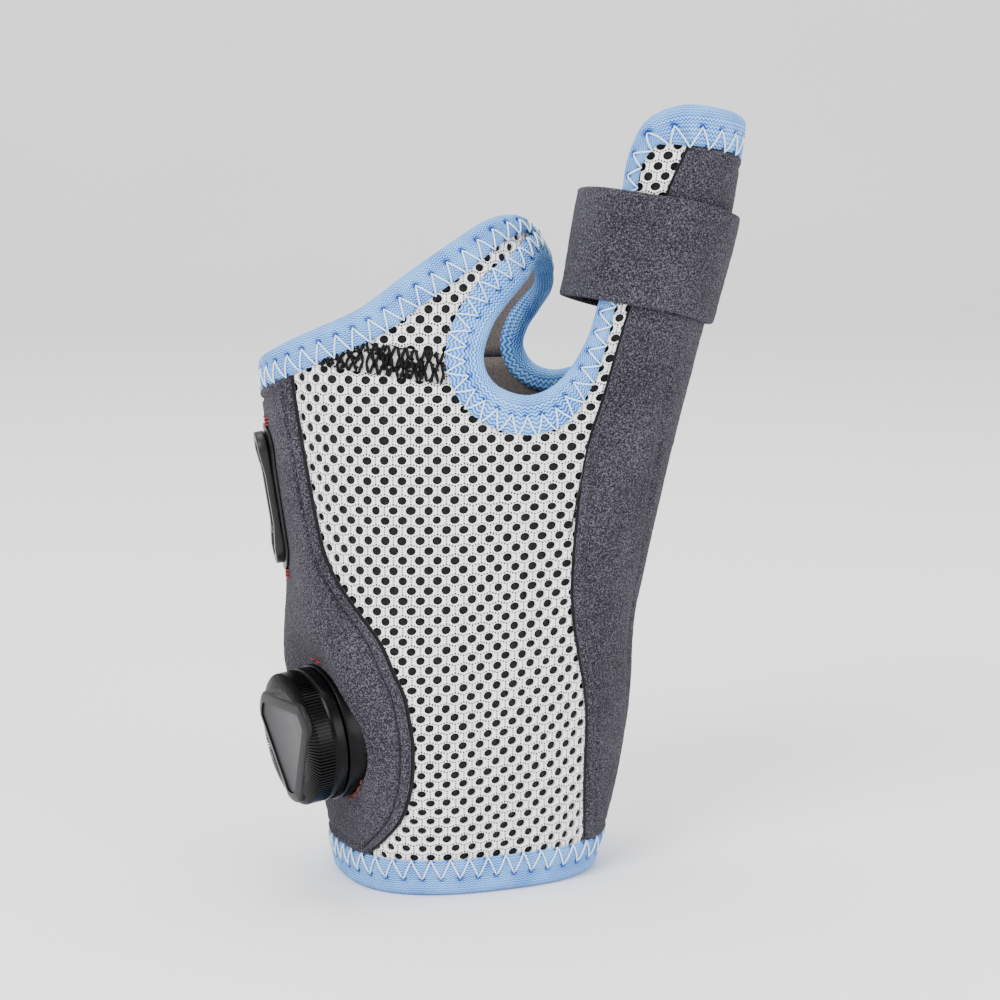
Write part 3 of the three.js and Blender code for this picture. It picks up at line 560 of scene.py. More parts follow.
def plasticMaterial(name, dark, light, roughness, gloss):
    material, tree, shader, coords = newMaterial(name, {"Roughness": roughness, "Specular IOR Level": gloss})
    outs = useGroup(tree, mouldedGrain, Vector=coords.outputs["Object"])
    paint(tree, shader, outs["Wear"], [(0.3, dark), (0.7, light)], outs["Height"], 0.25, 0.0001)
    rough = mathNode(tree, "MULTIPLY_ADD", outs["Wear"], 0.25, roughness - 0.12)
    tree.links.new(rough, shader.inputs["Roughness"])
    return material


def liningMaterial(name, dark, light):
    settings = {"Roughness": 0.95, "Sheen Weight": 0.2, "Specular IOR Level": 0.1}
    material, tree, shader, coords = newMaterial(name, settings)
    outs = useGroup(tree, pile, Vector=coords.outputs["Object"])
    paint(tree, shader, outs["Fleck"], [(0.35, dark), (0.65, light)], outs["Height"], 0.5, 0.0004)
    return material


def fleckMaterial(name, dark, light):
    material, tree, shader, coords = newMaterial(name, {"Roughness": 0.9, "Specular IOR Level": 0.15})
    spots = noiseNode(tree, coords.outputs["Object"], 700.0, 1.0)
    paint(tree, shader, spots, [(0.43, dark), (0.53, light)], spots, 0.6, 0.0004)
    return material


charcoal = plushMaterial("loopCharcoal", (0.007, 0.0065, 0.0095), (0.025, 0.0235, 0.0315),
                         (0.115, 0.108, 0.136))
blue = twillMaterial("bindingBlue", (0.01, 0.048, 0.32), (0.08, 0.275, 0.77), (0.31, 0.62, 1.0))
white = knitMaterial("knitWhite", (0.02, 0.019, 0.019), (0.72, 0.71, 0.72), (0.97, 0.97, 0.97))
stitchWhite = threadMaterial("stitchWhite", (0.5, 0.72, 0.8), (0.92, 0.97, 1.0))
stitchBlack = threadMaterial("seamBlack", (0.002, 0.002, 0.002), (0.009, 0.009, 0.01))
stitchRed = threadMaterial("stitchRed", (0.11, 0.016, 0.016), (0.28, 0.046, 0.042))
lining = liningMaterial("liningTaupe", (0.07, 0.06, 0.055), (0.19, 0.165, 0.15))
core = liningMaterial("spacerDark", (0.006, 0.006, 0.006), (0.03, 0.029, 0.029))
frameGrey = plasticMaterial("plateFrame", (0.008, 0.008, 0.009), (0.015, 0.015, 0.016), 0.34, 0.12)
# painted shade: a darker charcoal laid on the sewn groove along the ulnar panel's edge
paintedGrooveShade = plushMaterial("paintedGrooveShade", (0.006, 0.006, 0.008), (0.016, 0.015, 0.02),
                               (0.05, 0.048, 0.06))
edgeBlack = liningMaterial("edgeBlack", (0.0025, 0.0025, 0.003), (0.009, 0.009, 0.01))
black = plasticMaterial("dialBlack", (0.0012, 0.0012, 0.0015), (0.003, 0.003, 0.0035), 0.24, 0.1)
guideBlack = plasticMaterial("guideBlack", (0.004, 0.004, 0.0045), (0.009, 0.009, 0.0095), 0.32, 0.3)
fleck = fleckMaterial("seamFleck", (0.008, 0.008, 0.008), (0.7, 0.68, 0.64))
grey = plasticMaterial("capGrey", (0.02, 0.0205, 0.022), (0.032, 0.0325, 0.035), 0.34, 0.16)
print("materials ready")


# Edge bindings with their zigzag stitches
binding = {"spacing": 0.6, "fold": 1.9, "outer": 0.0, "inner": -4.3, "thick": 0.8, "crown": 0.22,
           "free": 0.42, "freeFrom": 0.86, "innerShare": 0.58, "wristWidth": 9.0, "legSteps": 14, "foldSteps": 11,
           "insideFold": 1.2, "uneven": 0.05, "unevenSize": 2.4}
zigzag = {"pitch": 4.6, "most": 0.6, "height": 4.5, "radius": 0.2, "dimple": 0.8, "spread": 0.6, "shade": 0.7,
          "rise": 0.22, "past": 0.35, "dip": 0.25, "seat": 0.4, "floor": 0.4, "rings": 7, "sides": 6}


def bindingProfile(width):
    half = (binding["outer"] - binding["inner"]) / 2
    middle = (binding["outer"] + binding["inner"]) / 2
    start = binding["fold"]
    outerLeg = []
    for s in np.linspace(1, 0, binding["legSteps"]):
        drop = binding["free"] * max(0, s - binding["freeFrom"]) / (1 - binding["freeFrom"])
        outerLeg.append((start + s * (width - start),
                         binding["outer"] + binding["crown"] * math.sin(math.pi * min(s, 1)) - drop))
    turn = np.linspace(0, np.pi, binding["foldSteps"] + 2)[1:-1]
    fold = [(start * (1 - math.sin(t)), middle + half * math.cos(t)) for t in turn]
    reach = width * binding["innerShare"]
    innerLeg = [(start + s * (reach - start), binding["inner"]) for s in (0, 0.5, 1)]
    low, high = binding["inner"] + binding["thick"], -binding["thick"]
    inside = [(reach, low), (start, low), (binding["insideFold"], middle), (start, high), (width * 0.6, high),
              (width, high)]
    return np.array(outerLeg + fold + innerLeg + inside)


def edgeBinding(name, path, node):
    legEdge = lifted(*inset(path, path["width"]), 0.0)
    sewn = np.linalg.norm(np.roll(legEdge, -1, 0) - legEdge, axis=-1)
    sewn = np.append(0, np.cumsum(sewn))  # run along the sewn edge
    whole = sewn[-1]
    pairs = int(round(whole / zigzag["pitch"]))
    pitch = whole / pairs
    profiles = np.stack([bindingProfile(width) for width in path["width"]])
    depth, lift = profiles[..., 0].copy(), profiles[..., 1].copy()
    foldEnd = binding["legSteps"] + binding["foldSteps"]
    outerRows = np.arange(depth.shape[1]) < foldEnd
    # around each needle point the tape sinks as a dimple, and painted shade darkens its colour there
    paintedDentShade = np.zeros_like(depth)
    tall = np.minimum(zigzag["height"], path["width"] * zigzag["most"])
    for start, drop in ((0.0, tall), (0.5, 0 * tall)):
        along = (sewn[:-1] / pitch - start + 0.5) % 1 - 0.5
        aside = depth - (path["width"] - drop)[:, None]
        dentAndShade = np.exp(-((along * pitch)[:, None] ** 2 + aside ** 2) / zigzag["spread"] ** 2)
        lift -= np.where(outerRows, zigzag["dimple"] * dentAndShade, 0)
        paintedDentShade += np.where(outerRows, zigzag["shade"] * dentAndShade, 0)
    spot = inset(pathAt(path, np.s_[:, None]), depth)
    sections = lifted(*spot, lift)
    uneven = binding["uneven"] * grain(sections, binding["unevenSize"], 3)
    sections += uneven[..., None] * wallFrames(*np.broadcast_arrays(*spot))[3]
    if path["level"]:
        sections[..., 2] = np.maximum(spot[2], 0.0)
    run = np.concatenate([[0], np.cumsum(np.linalg.norm(np.diff(sections[0], axis=0), axis=1))])
    obj = ringPiece(name, sections, blue, 0.1, path["run"], run)
    # the per-vertex attribute carries the painted shade at the needle points
    shading = obj.data.attributes.new("dentAndShade", "FLOAT", "POINT")
    shading.data.foreach_set("value", paintedDentShade.astype(np.float32).ravel())
    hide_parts(node)
    needles = np.arange(2 * pairs + 1)
    at = needles * pitch / 2
    drop = np.where(needles % 2 == 0, 1.0, 0.0)
    share = np.linspace(0, 1, zigzag["rings"])
    runAt = at[:-1, None] + (at[1:] - at[:-1])[:, None] * share
    dropAt = drop[:-1, None] + (drop[1:] - drop[:-1])[:, None] * share
    base = np.minimum(np.searchsorted(sewn, runAt % whole, side="right") - 1, len(path["run"]) - 1)
    part = (runAt % whole - sewn[base]) / (sewn[base + 1] - sewn[base])

    def thread(index):
        width = path["width"][index]
        tall = np.minimum(zigzag["height"], width * zigzag["most"])
        return inset(pathAt(path, index), width + zigzag["past"] - dropAt * (tall + zigzag["past"]))
    bow = np.sin(np.pi * share)
    hop = zigzag["radius"] * zigzag["seat"] + binding["crown"] + zigzag["rise"] * bow
    hop = hop - zigzag["dip"] * (1 - bow) ** 3
    first, second = thread(base), thread((base + 1) % len(path["run"]))
    part = part[..., None]
    centres = lifted(*first, hop) * (1 - part) + lifted(*second, hop) * part
    normals = wallFrames(*first)[3] * (1 - part) + wallFrames(*second)[3] * part
    if path["level"]:
        centres[..., 2] = np.maximum(centres[..., 2], zigzag["floor"])
    stitches = threadPieces(name + "Zigzag", centres, normals, zigzag["radius"], zigzag["sides"], stitchWhite)
    return len(obj.data.polygons), len(stitches.data.polygons)


fingerPath = foldPath(fingerFold, binding["spacing"])
thumbPath = foldPath(thumbFold, binding["spacing"])
rimPath = wristPath(binding["spacing"], binding["wristWidth"])
for name, path, node in (("fingerBinding", fingerPath, "finger_binding"), ("thumbBinding", thumbPath, "thumb_binding"),
                         ("wristBinding", rimPath, "wrist_binding")):
    print(name + ", faces of the tape and its stitches:", edgeBinding(name, path, node))


# Walls: perforated knit over a dark spacer, with the lining inside
wallLayer = {"inset": 2.7, "gap": 0.3, "coreOuter": -2.45, "coreSplit": -3.0, "liningOuter": -3.02, "inner": -3.5,
             "rowStep": 3.0, "columnStep": 2.6, "seamGap": 0.15, "webEnds": ((30.0, 128.3), (-30.0, 120.7))}
knit = {"pitch": 4.15, "row": 2.3, "hole": 1.08, "shoulder": 1.2, "edgeLift": -1.3, "topLift": -1.05,
        "rimLift": -1.6, "bottom": -2.4, "clear": 3.3, "under": 3.0, "straightX": -6.8, "low": 6.0,
        "webFrom": 26.0, "notchClear": 5.0, "thumbTop": 120.0, "vary": 0.03, "tall": 1.05, "shift": 0.05}


def sideEdge(path, branch, side, depth):
    keep = path["branch"] == branch
    _, around, up = inset(path, depth)
    around, up = around[keep] * side, up[keep]
    keep = around > -2
    return around[keep], up[keep]


def heightOn(line, around):
    order = np.argsort(line[0], kind="stable")
    return np.interp(around, line[0][order], line[1][order])


def notchRun(side, isLower):
    around, up = sideEdge(thumbPath, 0, side, wallLayer["inset"])
    keep = around > 0
    around, up = around[keep], up[keep]
    k = int(np.argmin(around))
    keep = up <= up[k] if isLower else up >= up[k]
    return around[k], (around[keep], up[keep])


def reachOf(up, side):
    near = lengthsAt(up, 0)
    return near if side > 0 else lengthsAt(up, 1) - near


def sideOf(side):
    return (1, chart["notchNear"]) if side > 0 else (2, chart["notchFar"])  # column of the tables, notch


def mainWall(name, side, outer, inner, material):
    column, notch = sideOf(side)
    fingerEdge = sideEdge(fingerPath, 0, side, wallLayer["inset"])
    thumbEdge = sideEdge(thumbPath, 1, side, wallLayer["inset"])
    inmost, lowerRun = notchRun(side, True)
    handAt = np.linspace(wallLayer["gap"] / 2, inmost, 26, endpoint=False)
    handAt = np.concatenate([handAt, np.linspace(inmost, notch, 5)])
    handTop = readRows(seamLine, handAt)[:, column] - wallLayer["seamGap"]
    handTop = np.minimum(handTop, heightOn(fingerEdge, handAt))
    handTop = np.where(handAt > inmost, np.minimum(handTop, heightOn(lowerRun, handAt)), handTop)
    order = np.argsort(-thumbEdge[0], kind="stable")
    picked, last = [], (reachOf(chart["shareLevel"], side) - notch, chart["shareLevel"])
    for a, u in zip(thumbEdge[0][order], thumbEdge[1][order]):
        isApart = last[0] - a > 0.3 and math.hypot(last[0] - a, u - last[1]) > wallLayer["columnStep"]
        if isApart and a > 0.4:
            picked.append(a)
            last = (a, u)
    thumbAt = np.array(picked + [wallLayer["gap"] / 2])
    branch = np.concatenate([np.zeros(len(handAt), int), np.ones(len(thumbAt), int)])
    across = np.concatenate([handAt, thumbAt])
    tops = np.concatenate([handTop, heightOn(thumbEdge, thumbAt)])
    levels = np.append(np.arange(wallLayer["inset"], tops.max() - 1.5, wallLayer["rowStep"]), tops.max())
    up = np.where(tops - levels[:, None] < 0.8, tops, levels[:, None])
    shrink = reachOf(np.minimum(up, chart["shareLevel"]), side) / reachOf(chart["shareLevel"], side)
    branch = np.broadcast_to(branch, up.shape)
    return patchPiece(name, branch, side * across * shrink, up, outer, inner, material)


def webWall(name, outer, inner, material):
    shareOf = lambda around, up: np.mod(around, lengthsAt(up, 3)) / lengthsAt(up, 3)
    lower = [[], []]
    for side, column in ((1, 1), (-1, 2)):
        inmost, run = notchRun(side, False)
        around = np.linspace(28, inmost - 0.3, 20)
        up = readRows(seamLine, around)[:, column] + wallLayer["seamGap"]
        for a, u in ((around, up), run):
            lower[0] += list(shareOf(side * a, u))
            lower[1] += list(u)
    keep = fingerPath["branch"] == 0
    _, around, up = inset(fingerPath, wallLayer["inset"])
    upper = (shareOf(around[keep], up[keep]), up[keep])
    share = np.linspace(*(shareOf(*end) for end in wallLayer["webEnds"]), 90)
    low, high = heightOn([np.array(v) for v in lower], share), heightOn(upper, share)
    up = low + (high - low) * np.linspace(0, 1, 8)[:, None]
    turn = np.where(share > 0.5, share - 1, share)
    return patchPiece(name, np.zeros(up.shape, int), turn * lengthsAt(up, 3), up, outer, inner, material)


def foldOutline(side):
    runs = []
    for path in (fingerPath, thumbPath):
        around, up = path["around"] * side, path["up"]
        s = np.where(path["branch"] == 0, around, reachOf(np.minimum(up, chart["shareLevel"]), side) - around)
        runs.append((s[around > -1], up[around > -1]))
    return np.stack([np.concatenate([r[k] for r in runs]) for k in (0, 1)], -1)


def knitCells(side):
    column, notch = sideOf(side)
    ups = wallUps[(wallUps >= 0) & (wallUps <= 170)]
    reach = np.arange(0, 100, 0.5)
    straight = []
    for up in ups:
        x = wallPoints(0, side * reach, min(up, 150))[:, 0]
        rising = x[: int(np.argmax(x)) + 1]
        straight.append(np.interp(knit["straightX"], rising, reach[: len(rising)]))
    straight = np.array(straight)

    def place(latticeX, latticeY, isWeb):
        up = latticeY * knit["row"]
        flat = latticeX * knit["pitch"] / 2
        s = flat + np.interp(up, ups, straight)
        onThumb = (s > notch) & (not isWeb)
        level = np.minimum(up, knit["thumbTop"])
        s = np.where(onThumb, np.maximum(flat + np.interp(level, ups, straight), notch), s)
        around = np.where(onThumb, reachOf(np.minimum(up, chart["shareLevel"]), side) - s, s)
        return onThumb.astype(int), around, up, s
    y, x = np.meshgrid(np.arange(2, 78), np.arange(-60, 61), indexing="ij")
    keep = (x + y) % 2 == 0
    x, y = x[keep], y[keep]
    outline = foldOutline(side)
    inmost, lowerRun = notchRun(side, True)
    _, upperRun = notchRun(side, False)
    masks = []
    for isWeb in (False, True):
        branch, around, up, s = place(x.astype(float), y.astype(float), isWeb)
        clear = np.full(len(s), 1e9)
        for spot in outline[::2]:
            clear = np.minimum(clear, np.hypot(s - spot[0], up - spot[1]))
        onHand = branch == 0
        fingerTop = heightOn(sideEdge(fingerPath, 0, side, 0), s)
        seamUp = readRows(seamLine, s)[:, column]
        if isWeb:
            floorUp = np.where(s > inmost, heightOn(upperRun, s), seamUp)
            good = (up > floorUp) & (up < fingerTop) & (s > knit["webFrom"]) & (s < lengthsAt(up, 2) + 1)
        else:
            handTop = np.where(s > knit["webFrom"], np.minimum(seamUp, fingerTop), fingerTop)
            handTop = np.where(s > inmost, heightOn(lowerRun, s), handTop)
            good = up < np.where(onHand, handTop, heightOn(sideEdge(thumbPath, 1, side, 0), around))
            good &= ~((up > chart["shareLevel"]) & (np.abs(s - notch) < knit["notchClear"]))
        good &= (clear > knit["clear"]) & (up > knit["low"])
        edgeOf = np.where(onHand, *(readRows(reach, up)[:, column] for reach in (ulnarReach, thumbReach)))
        masks.append(good & (around > edgeOf - knit["under"]))
    return (x, y, place), masks[0], masks[1]


def knitPiece(name, side, cells, mask, isWeb, seed):
    x, y, place = cells
    x, y = x[mask], y[mask]
    corner = np.array([(6, 0), (6, 2), (3, 3), (0, 4), (-3, 3), (-6, 2), (-6, 0),
                       (-6, -2), (-3, -3), (0, -4), (3, -3), (6, -2)]) / 6
    keys = np.round(6 * (np.stack([x, y], -1)[:, None] + corner)).astype(int)
    unique, ids = np.unique(keys.reshape(-1, 2), axis=0, return_inverse=True)
    ids = ids.reshape(len(x), 12)
    rng = np.random.default_rng(seed)
    size = knit["hole"] * (1 + knit["vary"] * rng.standard_normal(len(x)))
    stretch = knit["tall"] + knit["vary"] * rng.standard_normal(len(x))
    shift = knit["shift"] * rng.standard_normal((len(x), 2))
    angle = np.arctan2(corner[:, 1] * knit["row"], corner[:, 0] * knit["pitch"] / 2)

    def ring(radius, lift):
        local = np.stack([np.cos(angle) * radius[:, None] * stretch[:, None] + shift[:, :1],
                          np.sin(angle) * radius[:, None] / stretch[:, None] + shift[:, 1:]], -1)
        cellX = x[:, None] + local[..., 0] / (knit["pitch"] / 2)
        cellY = y[:, None] + local[..., 1] / knit["row"]
        b, a, u, _ = place(cellX, cellY, isWeb)
        return lifted(b, side * a, u, lift).reshape(-1, 3)
    b, a, u, _ = place(unique[:, 0] / 6, unique[:, 1] / 6, isWeb)
    shared = [lifted(b, side * a, u, lift) for lift in (knit["edgeLift"], knit["bottom"])]
    count, cellCount = len(unique), len(x)
    rings = [ring(size * knit["shoulder"], knit["topLift"]), ring(size, knit["rimLift"]),
             ring(size * 1.05, knit["bottom"])]
    points = np.concatenate(shared + rings)
    own = [2 * count + k * cellCount * 12 + np.arange(cellCount * 12).reshape(cellCount, 12) for k in range(3)]
    loops = [ids, *own, ids + count]
    reach = np.hypot(corner[:, 0] * knit["pitch"] / 2, corner[:, 1] * knit["row"])
    reach = reach - knit["hole"] * knit["shoulder"]
    values = [0 * reach, reach, reach + 1, reach + 1, reach + 1]
    faces, uvs = [], []
    turn = np.arange(13) * 1.5
    for k in range(4):
        a0, b0 = loops[k], loops[k + 1]
        faces.append(np.stack([a0, np.roll(a0, -1, 1), np.roll(b0, -1, 1), b0], -1).reshape(-1, 4))
        here, there = values[k], values[k + 1]
        uv = np.stack([np.stack([turn[:-1], here], -1), np.stack([turn[1:], np.roll(here, -1)], -1),
                       np.stack([turn[1:], np.roll(there, -1)], -1), np.stack([turn[:-1], there], -1)], 1)
        uvs.append(np.tile(uv, (cellCount, 1, 1)).reshape(-1, 2))
    edges = {tuple(pair): True for pair in faces[0][:, :2].tolist()}
    rimFaces = np.array([(b1, a1, a1 + count, b1 + count) for a1, b1 in edges if (b1, a1) not in edges])
    faces = np.concatenate(faces + [rimFaces])
    uvs = np.concatenate(uvs + [np.zeros((len(rimFaces) * 4, 2))])
    faces, uvs = outwardQuads(points, faces, uvs)
    return makePiece(name, points, faces.tolist(), white, uvs)


frontCells, frontMask, frontWeb = knitCells(1)
backCells, backMask, backWeb = knitCells(-1)
knits = (("frontKnit", 1, frontCells, frontMask, False, 5, "front_mesh_panel"),
         ("backKnit", -1, backCells, backMask, False, 6, "back_mesh_panel"),
         ("webKnitNear", 1, frontCells, frontWeb, True, 7, "web_strip"),
         ("webKnitFar", -1, backCells, backWeb, True, 8, "web_strip"))
for *values, node in knits:
    obj = knitPiece(*values)
    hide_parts(node)
for side, label in ((1, "front"), (-1, "back")):
    mainWall(label + "Spacer", side, wallLayer["coreOuter"], wallLayer["coreSplit"], core)
    mainWall(label + "Lining", side, wallLayer["liningOuter"], wallLayer["inner"], lining)
webWall("webSpacer", wallLayer["coreOuter"], wallLayer["coreSplit"], core)
webWall("webLining", wallLayer["liningOuter"], wallLayer["inner"], lining)
print("knit cells:", [int(mask.sum()) for mask in (frontMask, backMask, frontWeb, backWeb)])


# Sewn-on charcoal panels and the thumb strap
panel = {"inner": -1.08, "outer": 0.05, "roll": 1.1, "edge": -0.75, "groove": 2.55, "grooveWide": 0.42,
         "creaseUp": (34.0, 82.0, 130.0), "creaseAround": (4.0, 11.0, 17.5), "creaseWide": 1.2, "creaseFade": 12.0,
         "bead": 0.22, "beadWide": 0.7, "fuzz": 0.13, "step": 0.75, "bottom": 9.2, "topGap": 0.2, "endRoll": 0.6,
         "edgeSteps": (-0.08, 0.0, 0.12, 0.35, 0.7, 1.1, 1.6, 2.1, 2.35, 2.75, 3.0, 3.4), "darkColumns": 2,
         "grooveColumn": 9}


def sewnPanel(name, branch, reach, topLine, node, look):
    edgeSteps = np.array([-look["skirt"], *panel["edgeSteps"]])
    wide = len(edgeSteps)
    rows = int((topLine[1].max() - panel["bottom"]) / panel["step"])
    columns = int((reach[:, 1] + reach[:, 2]).max() / panel["step"])
    share = np.linspace(0, 1, rows + 1)[:, None]
    inner = np.linspace(0, 1, columns)[None, 1:-1]
    up = panel["bottom"] + (heightOn(topLine, 0.0) - panel["bottom"]) * share
    up = np.broadcast_to(up, (rows + 1, columns - 2 + 2 * wide)).copy()
    for _ in range(5):
        both = readRows(reach, up)
        near, far = both[..., 1], both[..., 2]
        body = -far[:, wide:-wide] + edgeSteps[-1] + (near + far - 2 * edgeSteps[-1])[:, wide:-wide] * inner
        around = np.concatenate([-far[:, :wide] + edgeSteps, body, near[:, -wide:] - edgeSteps[::-1]], 1)
        top = heightOn(topLine, around)
        up = panel["bottom"] + (top - panel["bottom"]) * share
    both = readRows(reach, up)
    edge = np.minimum(both[..., 1] - around, around + both[..., 2])
    edge = np.minimum(edge, np.minimum(up - panel["bottom"], top - up) + panel["endRoll"])
    roll = np.sqrt(1 - (1 - np.clip(edge / panel["roll"], 0, 1)) ** 2)
    lift = panel["edge"] + (panel["outer"] - panel["edge"]) * roll
    lift = lift - look["grooveDeep"] * np.exp(-((edge - panel["groove"]) / panel["grooveWide"]) ** 2)
    crease = np.interp(up, panel["creaseUp"], panel["creaseAround"])
    fade = smooth((up - panel["creaseUp"][0]) / panel["creaseFade"])
    fade = fade * smooth((panel["creaseUp"][-1] - up) / panel["creaseFade"])
    lift = lift - look["creaseDeep"] * fade * np.exp(-((around - crease) / panel["creaseWide"]) ** 2)
    lift = lift + panel["bead"] * np.exp(-((edge - panel["groove"] / 2) / panel["beadWide"]) ** 2)
    lift = lift + panel["fuzz"] * roll * pileFuzz(wallPoints(branch, around, up), 1)
    obj = patchPiece(name, np.full(up.shape, branch), around, up, lift, panel["inner"], charcoal)
    obj.data.materials.append(edgeBlack)
    obj.data.materials.append(paintedGrooveShade)
    # material index: the groove column takes the painted groove shade (ulnar panel only); the outer columns and the
    # skirt take the near-black edgeBlack
    fromEdge = np.minimum(np.arange(up.shape[1] - 1), np.arange(up.shape[1] - 1)[::-1])
    finish = np.where(fromEdge == panel["grooveColumn"], look["grooveShade"], 0)
    finish = np.where(fromEdge < panel["darkColumns"], 1, finish)
    finish = np.broadcast_to(finish, (rows, up.shape[1] - 1)).reshape(-1)
    index = np.zeros(len(obj.data.polygons), np.int32)
    index[: 2 * len(finish)] = np.tile(finish, 2)
    obj.data.polygons.foreach_set("material_index", index)
    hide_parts(node)
    return obj


def legLine(path, branch):
    keep = path["branch"] == branch
    _, around, up = inset(path, path["width"] + panel["topGap"])
    return around[keep], up[keep]


ulnarPanel = sewnPanel("ulnarPanel", 0, ulnarReach, legLine(fingerPath, 0), "ulnar_panel",
                       {"skirt": 0.95, "grooveDeep": 0.75, "grooveShade": 2, "creaseDeep": 0.0})
thumbPanel = sewnPanel("thumbPanel", 1, thumbReach, legLine(thumbPath, 1), "thumb_panel",
                       {"skirt": 0.6, "grooveDeep": 0.3, "grooveShade": 0, "creaseDeep": 0.75})

strap = {"mid": 149.0, "width": 25.2, "lean": 0.2, "back": 0.13, "inner": 0.35, "outer": 2.1, "sides": 170,
         "rows": 44, "round": 0.7, "fuzz": 0.14}


def thumbStrap():
    angle = np.linspace(0, 2 * np.pi, strap["sides"], endpoint=False)
    middle = readRows(thumbRows, strap["mid"])[3]
    half, thick = strap["width"] / 2, (strap["outer"] - strap["inner"]) / 2
    mid = (strap["outer"] + strap["inner"]) / 2
    flat = np.linspace(-half + strap["round"], half - strap["round"], strap["rows"])
    turn = np.linspace(0, np.pi, 8)[1:-1]
    outline = [(strap["outer"], e) for e in flat]
    outline += [(mid + thick * math.cos(t), half - strap["round"] + strap["round"] * math.sin(t)) for t in turn]
    outline += [(strap["inner"], e) for e in flat[::-4]]
    outline += [(mid - thick * math.cos(t), -half + strap["round"] - strap["round"] * math.sin(t)) for t in turn]
    sections = []
    for lift, edge in outline:
        up = strap["mid"] + edge - middle * (strap["lean"] * np.cos(angle) + strap["back"] * np.sin(angle))
        rows = readRows(thumbRows, up)
        point = np.array([ovalPoints(row, a) for row, a in zip(rows, angle)])
        point = point + lift * np.stack([np.cos(angle), np.sin(angle)], -1)
        sections.append(np.concatenate([point, up[:, None]], -1))
    sections = np.stack(sections, 1)
    out = np.stack([np.cos(angle), np.sin(angle), np.zeros_like(angle)], -1)[:, None]
    top = np.array([max(0.0, (lift - mid) / thick) for lift, _ in outline])
    sections = sections + out * (strap["fuzz"] * top * pileFuzz(sections, 4))[..., None]
    obj = ringPiece("thumbStrap", sections, charcoal, 0.1, angle * middle, np.arange(len(outline)) * 0.6)
    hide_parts("thumb_strap")
    return obj


strapPiece = thumbStrap()
print("panels:", [len(o.data.polygons) for o in (ulnarPanel, thumbPanel, strapPiece)])


# Black overlocked seams between the web strip and the main panels
seam = {"start": 27.5, "height": 6.8, "inner": -1.08, "outer": -0.75, "pitch": 1.15, "radius": 0.36, "rows": 3,
        "sides": 6, "rings": 5, "underLeg": 0.2, "seat": 0.15, "hop": 0.5, "least": 0.35, "slants": (-0.45, 0.55)}


def overlock(label, side, node):
    column, _ = sideOf(side)
    fingerLeg = legLine(fingerPath, 0)
    fingerLeg = (fingerLeg[0] * side, fingerLeg[1])
    _, legA, _ = inset(thumbPath, thumbPath["width"] - seam["underLeg"])
    end = float(np.min((legA * side)[(thumbPath["branch"] == 0) & (legA * side > 0)]))
    at = np.linspace(seam["start"], end, 60)
    middle = readRows(seamLine, at)[:, column]
    high = np.minimum(middle + seam["height"] / 2, heightOn(fingerLeg, at) + 0.6)
    low = np.minimum(middle - seam["height"] / 2, high - 0.4)
    up = low + (high - low) * np.linspace(0, 1, 10)[:, None]
    around = side * np.broadcast_to(at, up.shape)
    tape = patchPiece(label + "Seam", np.zeros(up.shape, int), around, up, seam["outer"], seam["inner"], fleck)
    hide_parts(node)
    rng = np.random.default_rng(11 if side > 0 else 12)
    starts, ends = [], []
    for row in range(seam["rows"]):
        count = int((end - at[0]) / seam["pitch"])
        for k in range(count):
            a = at[0] + (k + 0.5 + 0.15 * rng.standard_normal()) * seam["pitch"]
            lo, hi = np.interp(a, at, low), np.interp(a, at, high)
            band = (hi - lo) / seam["rows"]
            if band < seam["least"]:
                continue
            slant = seam["pitch"] * seam["slants"][(k + row) % 2]
            starts.append((a - slant / 2, lo + row * band - 0.15 * rng.random()))
            ends.append((a + slant / 2, lo + (row + 1) * band + 0.25 * rng.random()))
    starts, ends = np.array(starts), np.array(ends)
    share = np.linspace(0, 1, seam["rings"])
    route = starts[:, None] + (ends - starts)[:, None] * share[:, None]
    hop = seam["outer"] + seam["seat"] + seam["hop"] * np.sin(np.pi * share)
    spot = np.zeros(route.shape[:2], int), side * route[..., 0], route[..., 1]
    centres, normals = lifted(*spot, hop), wallFrames(*spot)[3]
    return threadPieces(label + "Overlock", centres, normals, seam["radius"], seam["sides"], stitchBlack, 0.7)


overlock("front", 1, "front_seam")
overlock("back", -1, "back_seam")
print("seams laid")


# Lace dial and lace guide, modelled with operators in their own frame and then set in place

def fittingMatrix(origin, axis):
    axis = Vector(axis).normalized()
    across = Vector((0, 0, 1)).cross(axis).normalized()
    upright = axis.cross(across)
    place = Matrix((across, upright, axis)).transposed().to_4x4()
    place.translation = Vector(origin) * mm
    return place


def clearSelection():
    bpy.ops.object.select_all(action="DESELECT")


def startEdit(obj):
    clearSelection()
    obj.select_set(True)
    bpy.context.view_layer.objects.active = obj
    bpy.ops.object.mode_set(mode="EDIT")


def pickFaces(obj, test):
    bpy.ops.mesh.select_mode(type="FACE")
    edit = bmesh.from_edit_mesh(obj.data)
    for face in edit.faces:
        face.select_set(bool(test(face.calc_center_median(), face.normal)))
    edit.select_flush_mode()
    bmesh.update_edit_mesh(obj.data)


def pickVerts(obj, test):
    bpy.ops.mesh.select_mode(type="VERT")
    edit = bmesh.from_edit_mesh(obj.data)
    for vert in edit.verts:
        vert.select_set(bool(test(vert.co)))
    edit.select_flush_mode()
    bmesh.update_edit_mesh(obj.data)


def applyBevel(obj, width, segments, angle=35):
    bpy.ops.object.mode_set(mode="OBJECT")
    modifier = obj.modifiers.new("edge", "BEVEL")
    modifier.width = width
    modifier.segments = segments
    modifier.limit_method = "ANGLE"
    modifier.angle_limit = math.radians(angle)
    bpy.ops.object.modifier_apply(modifier=modifier.name)


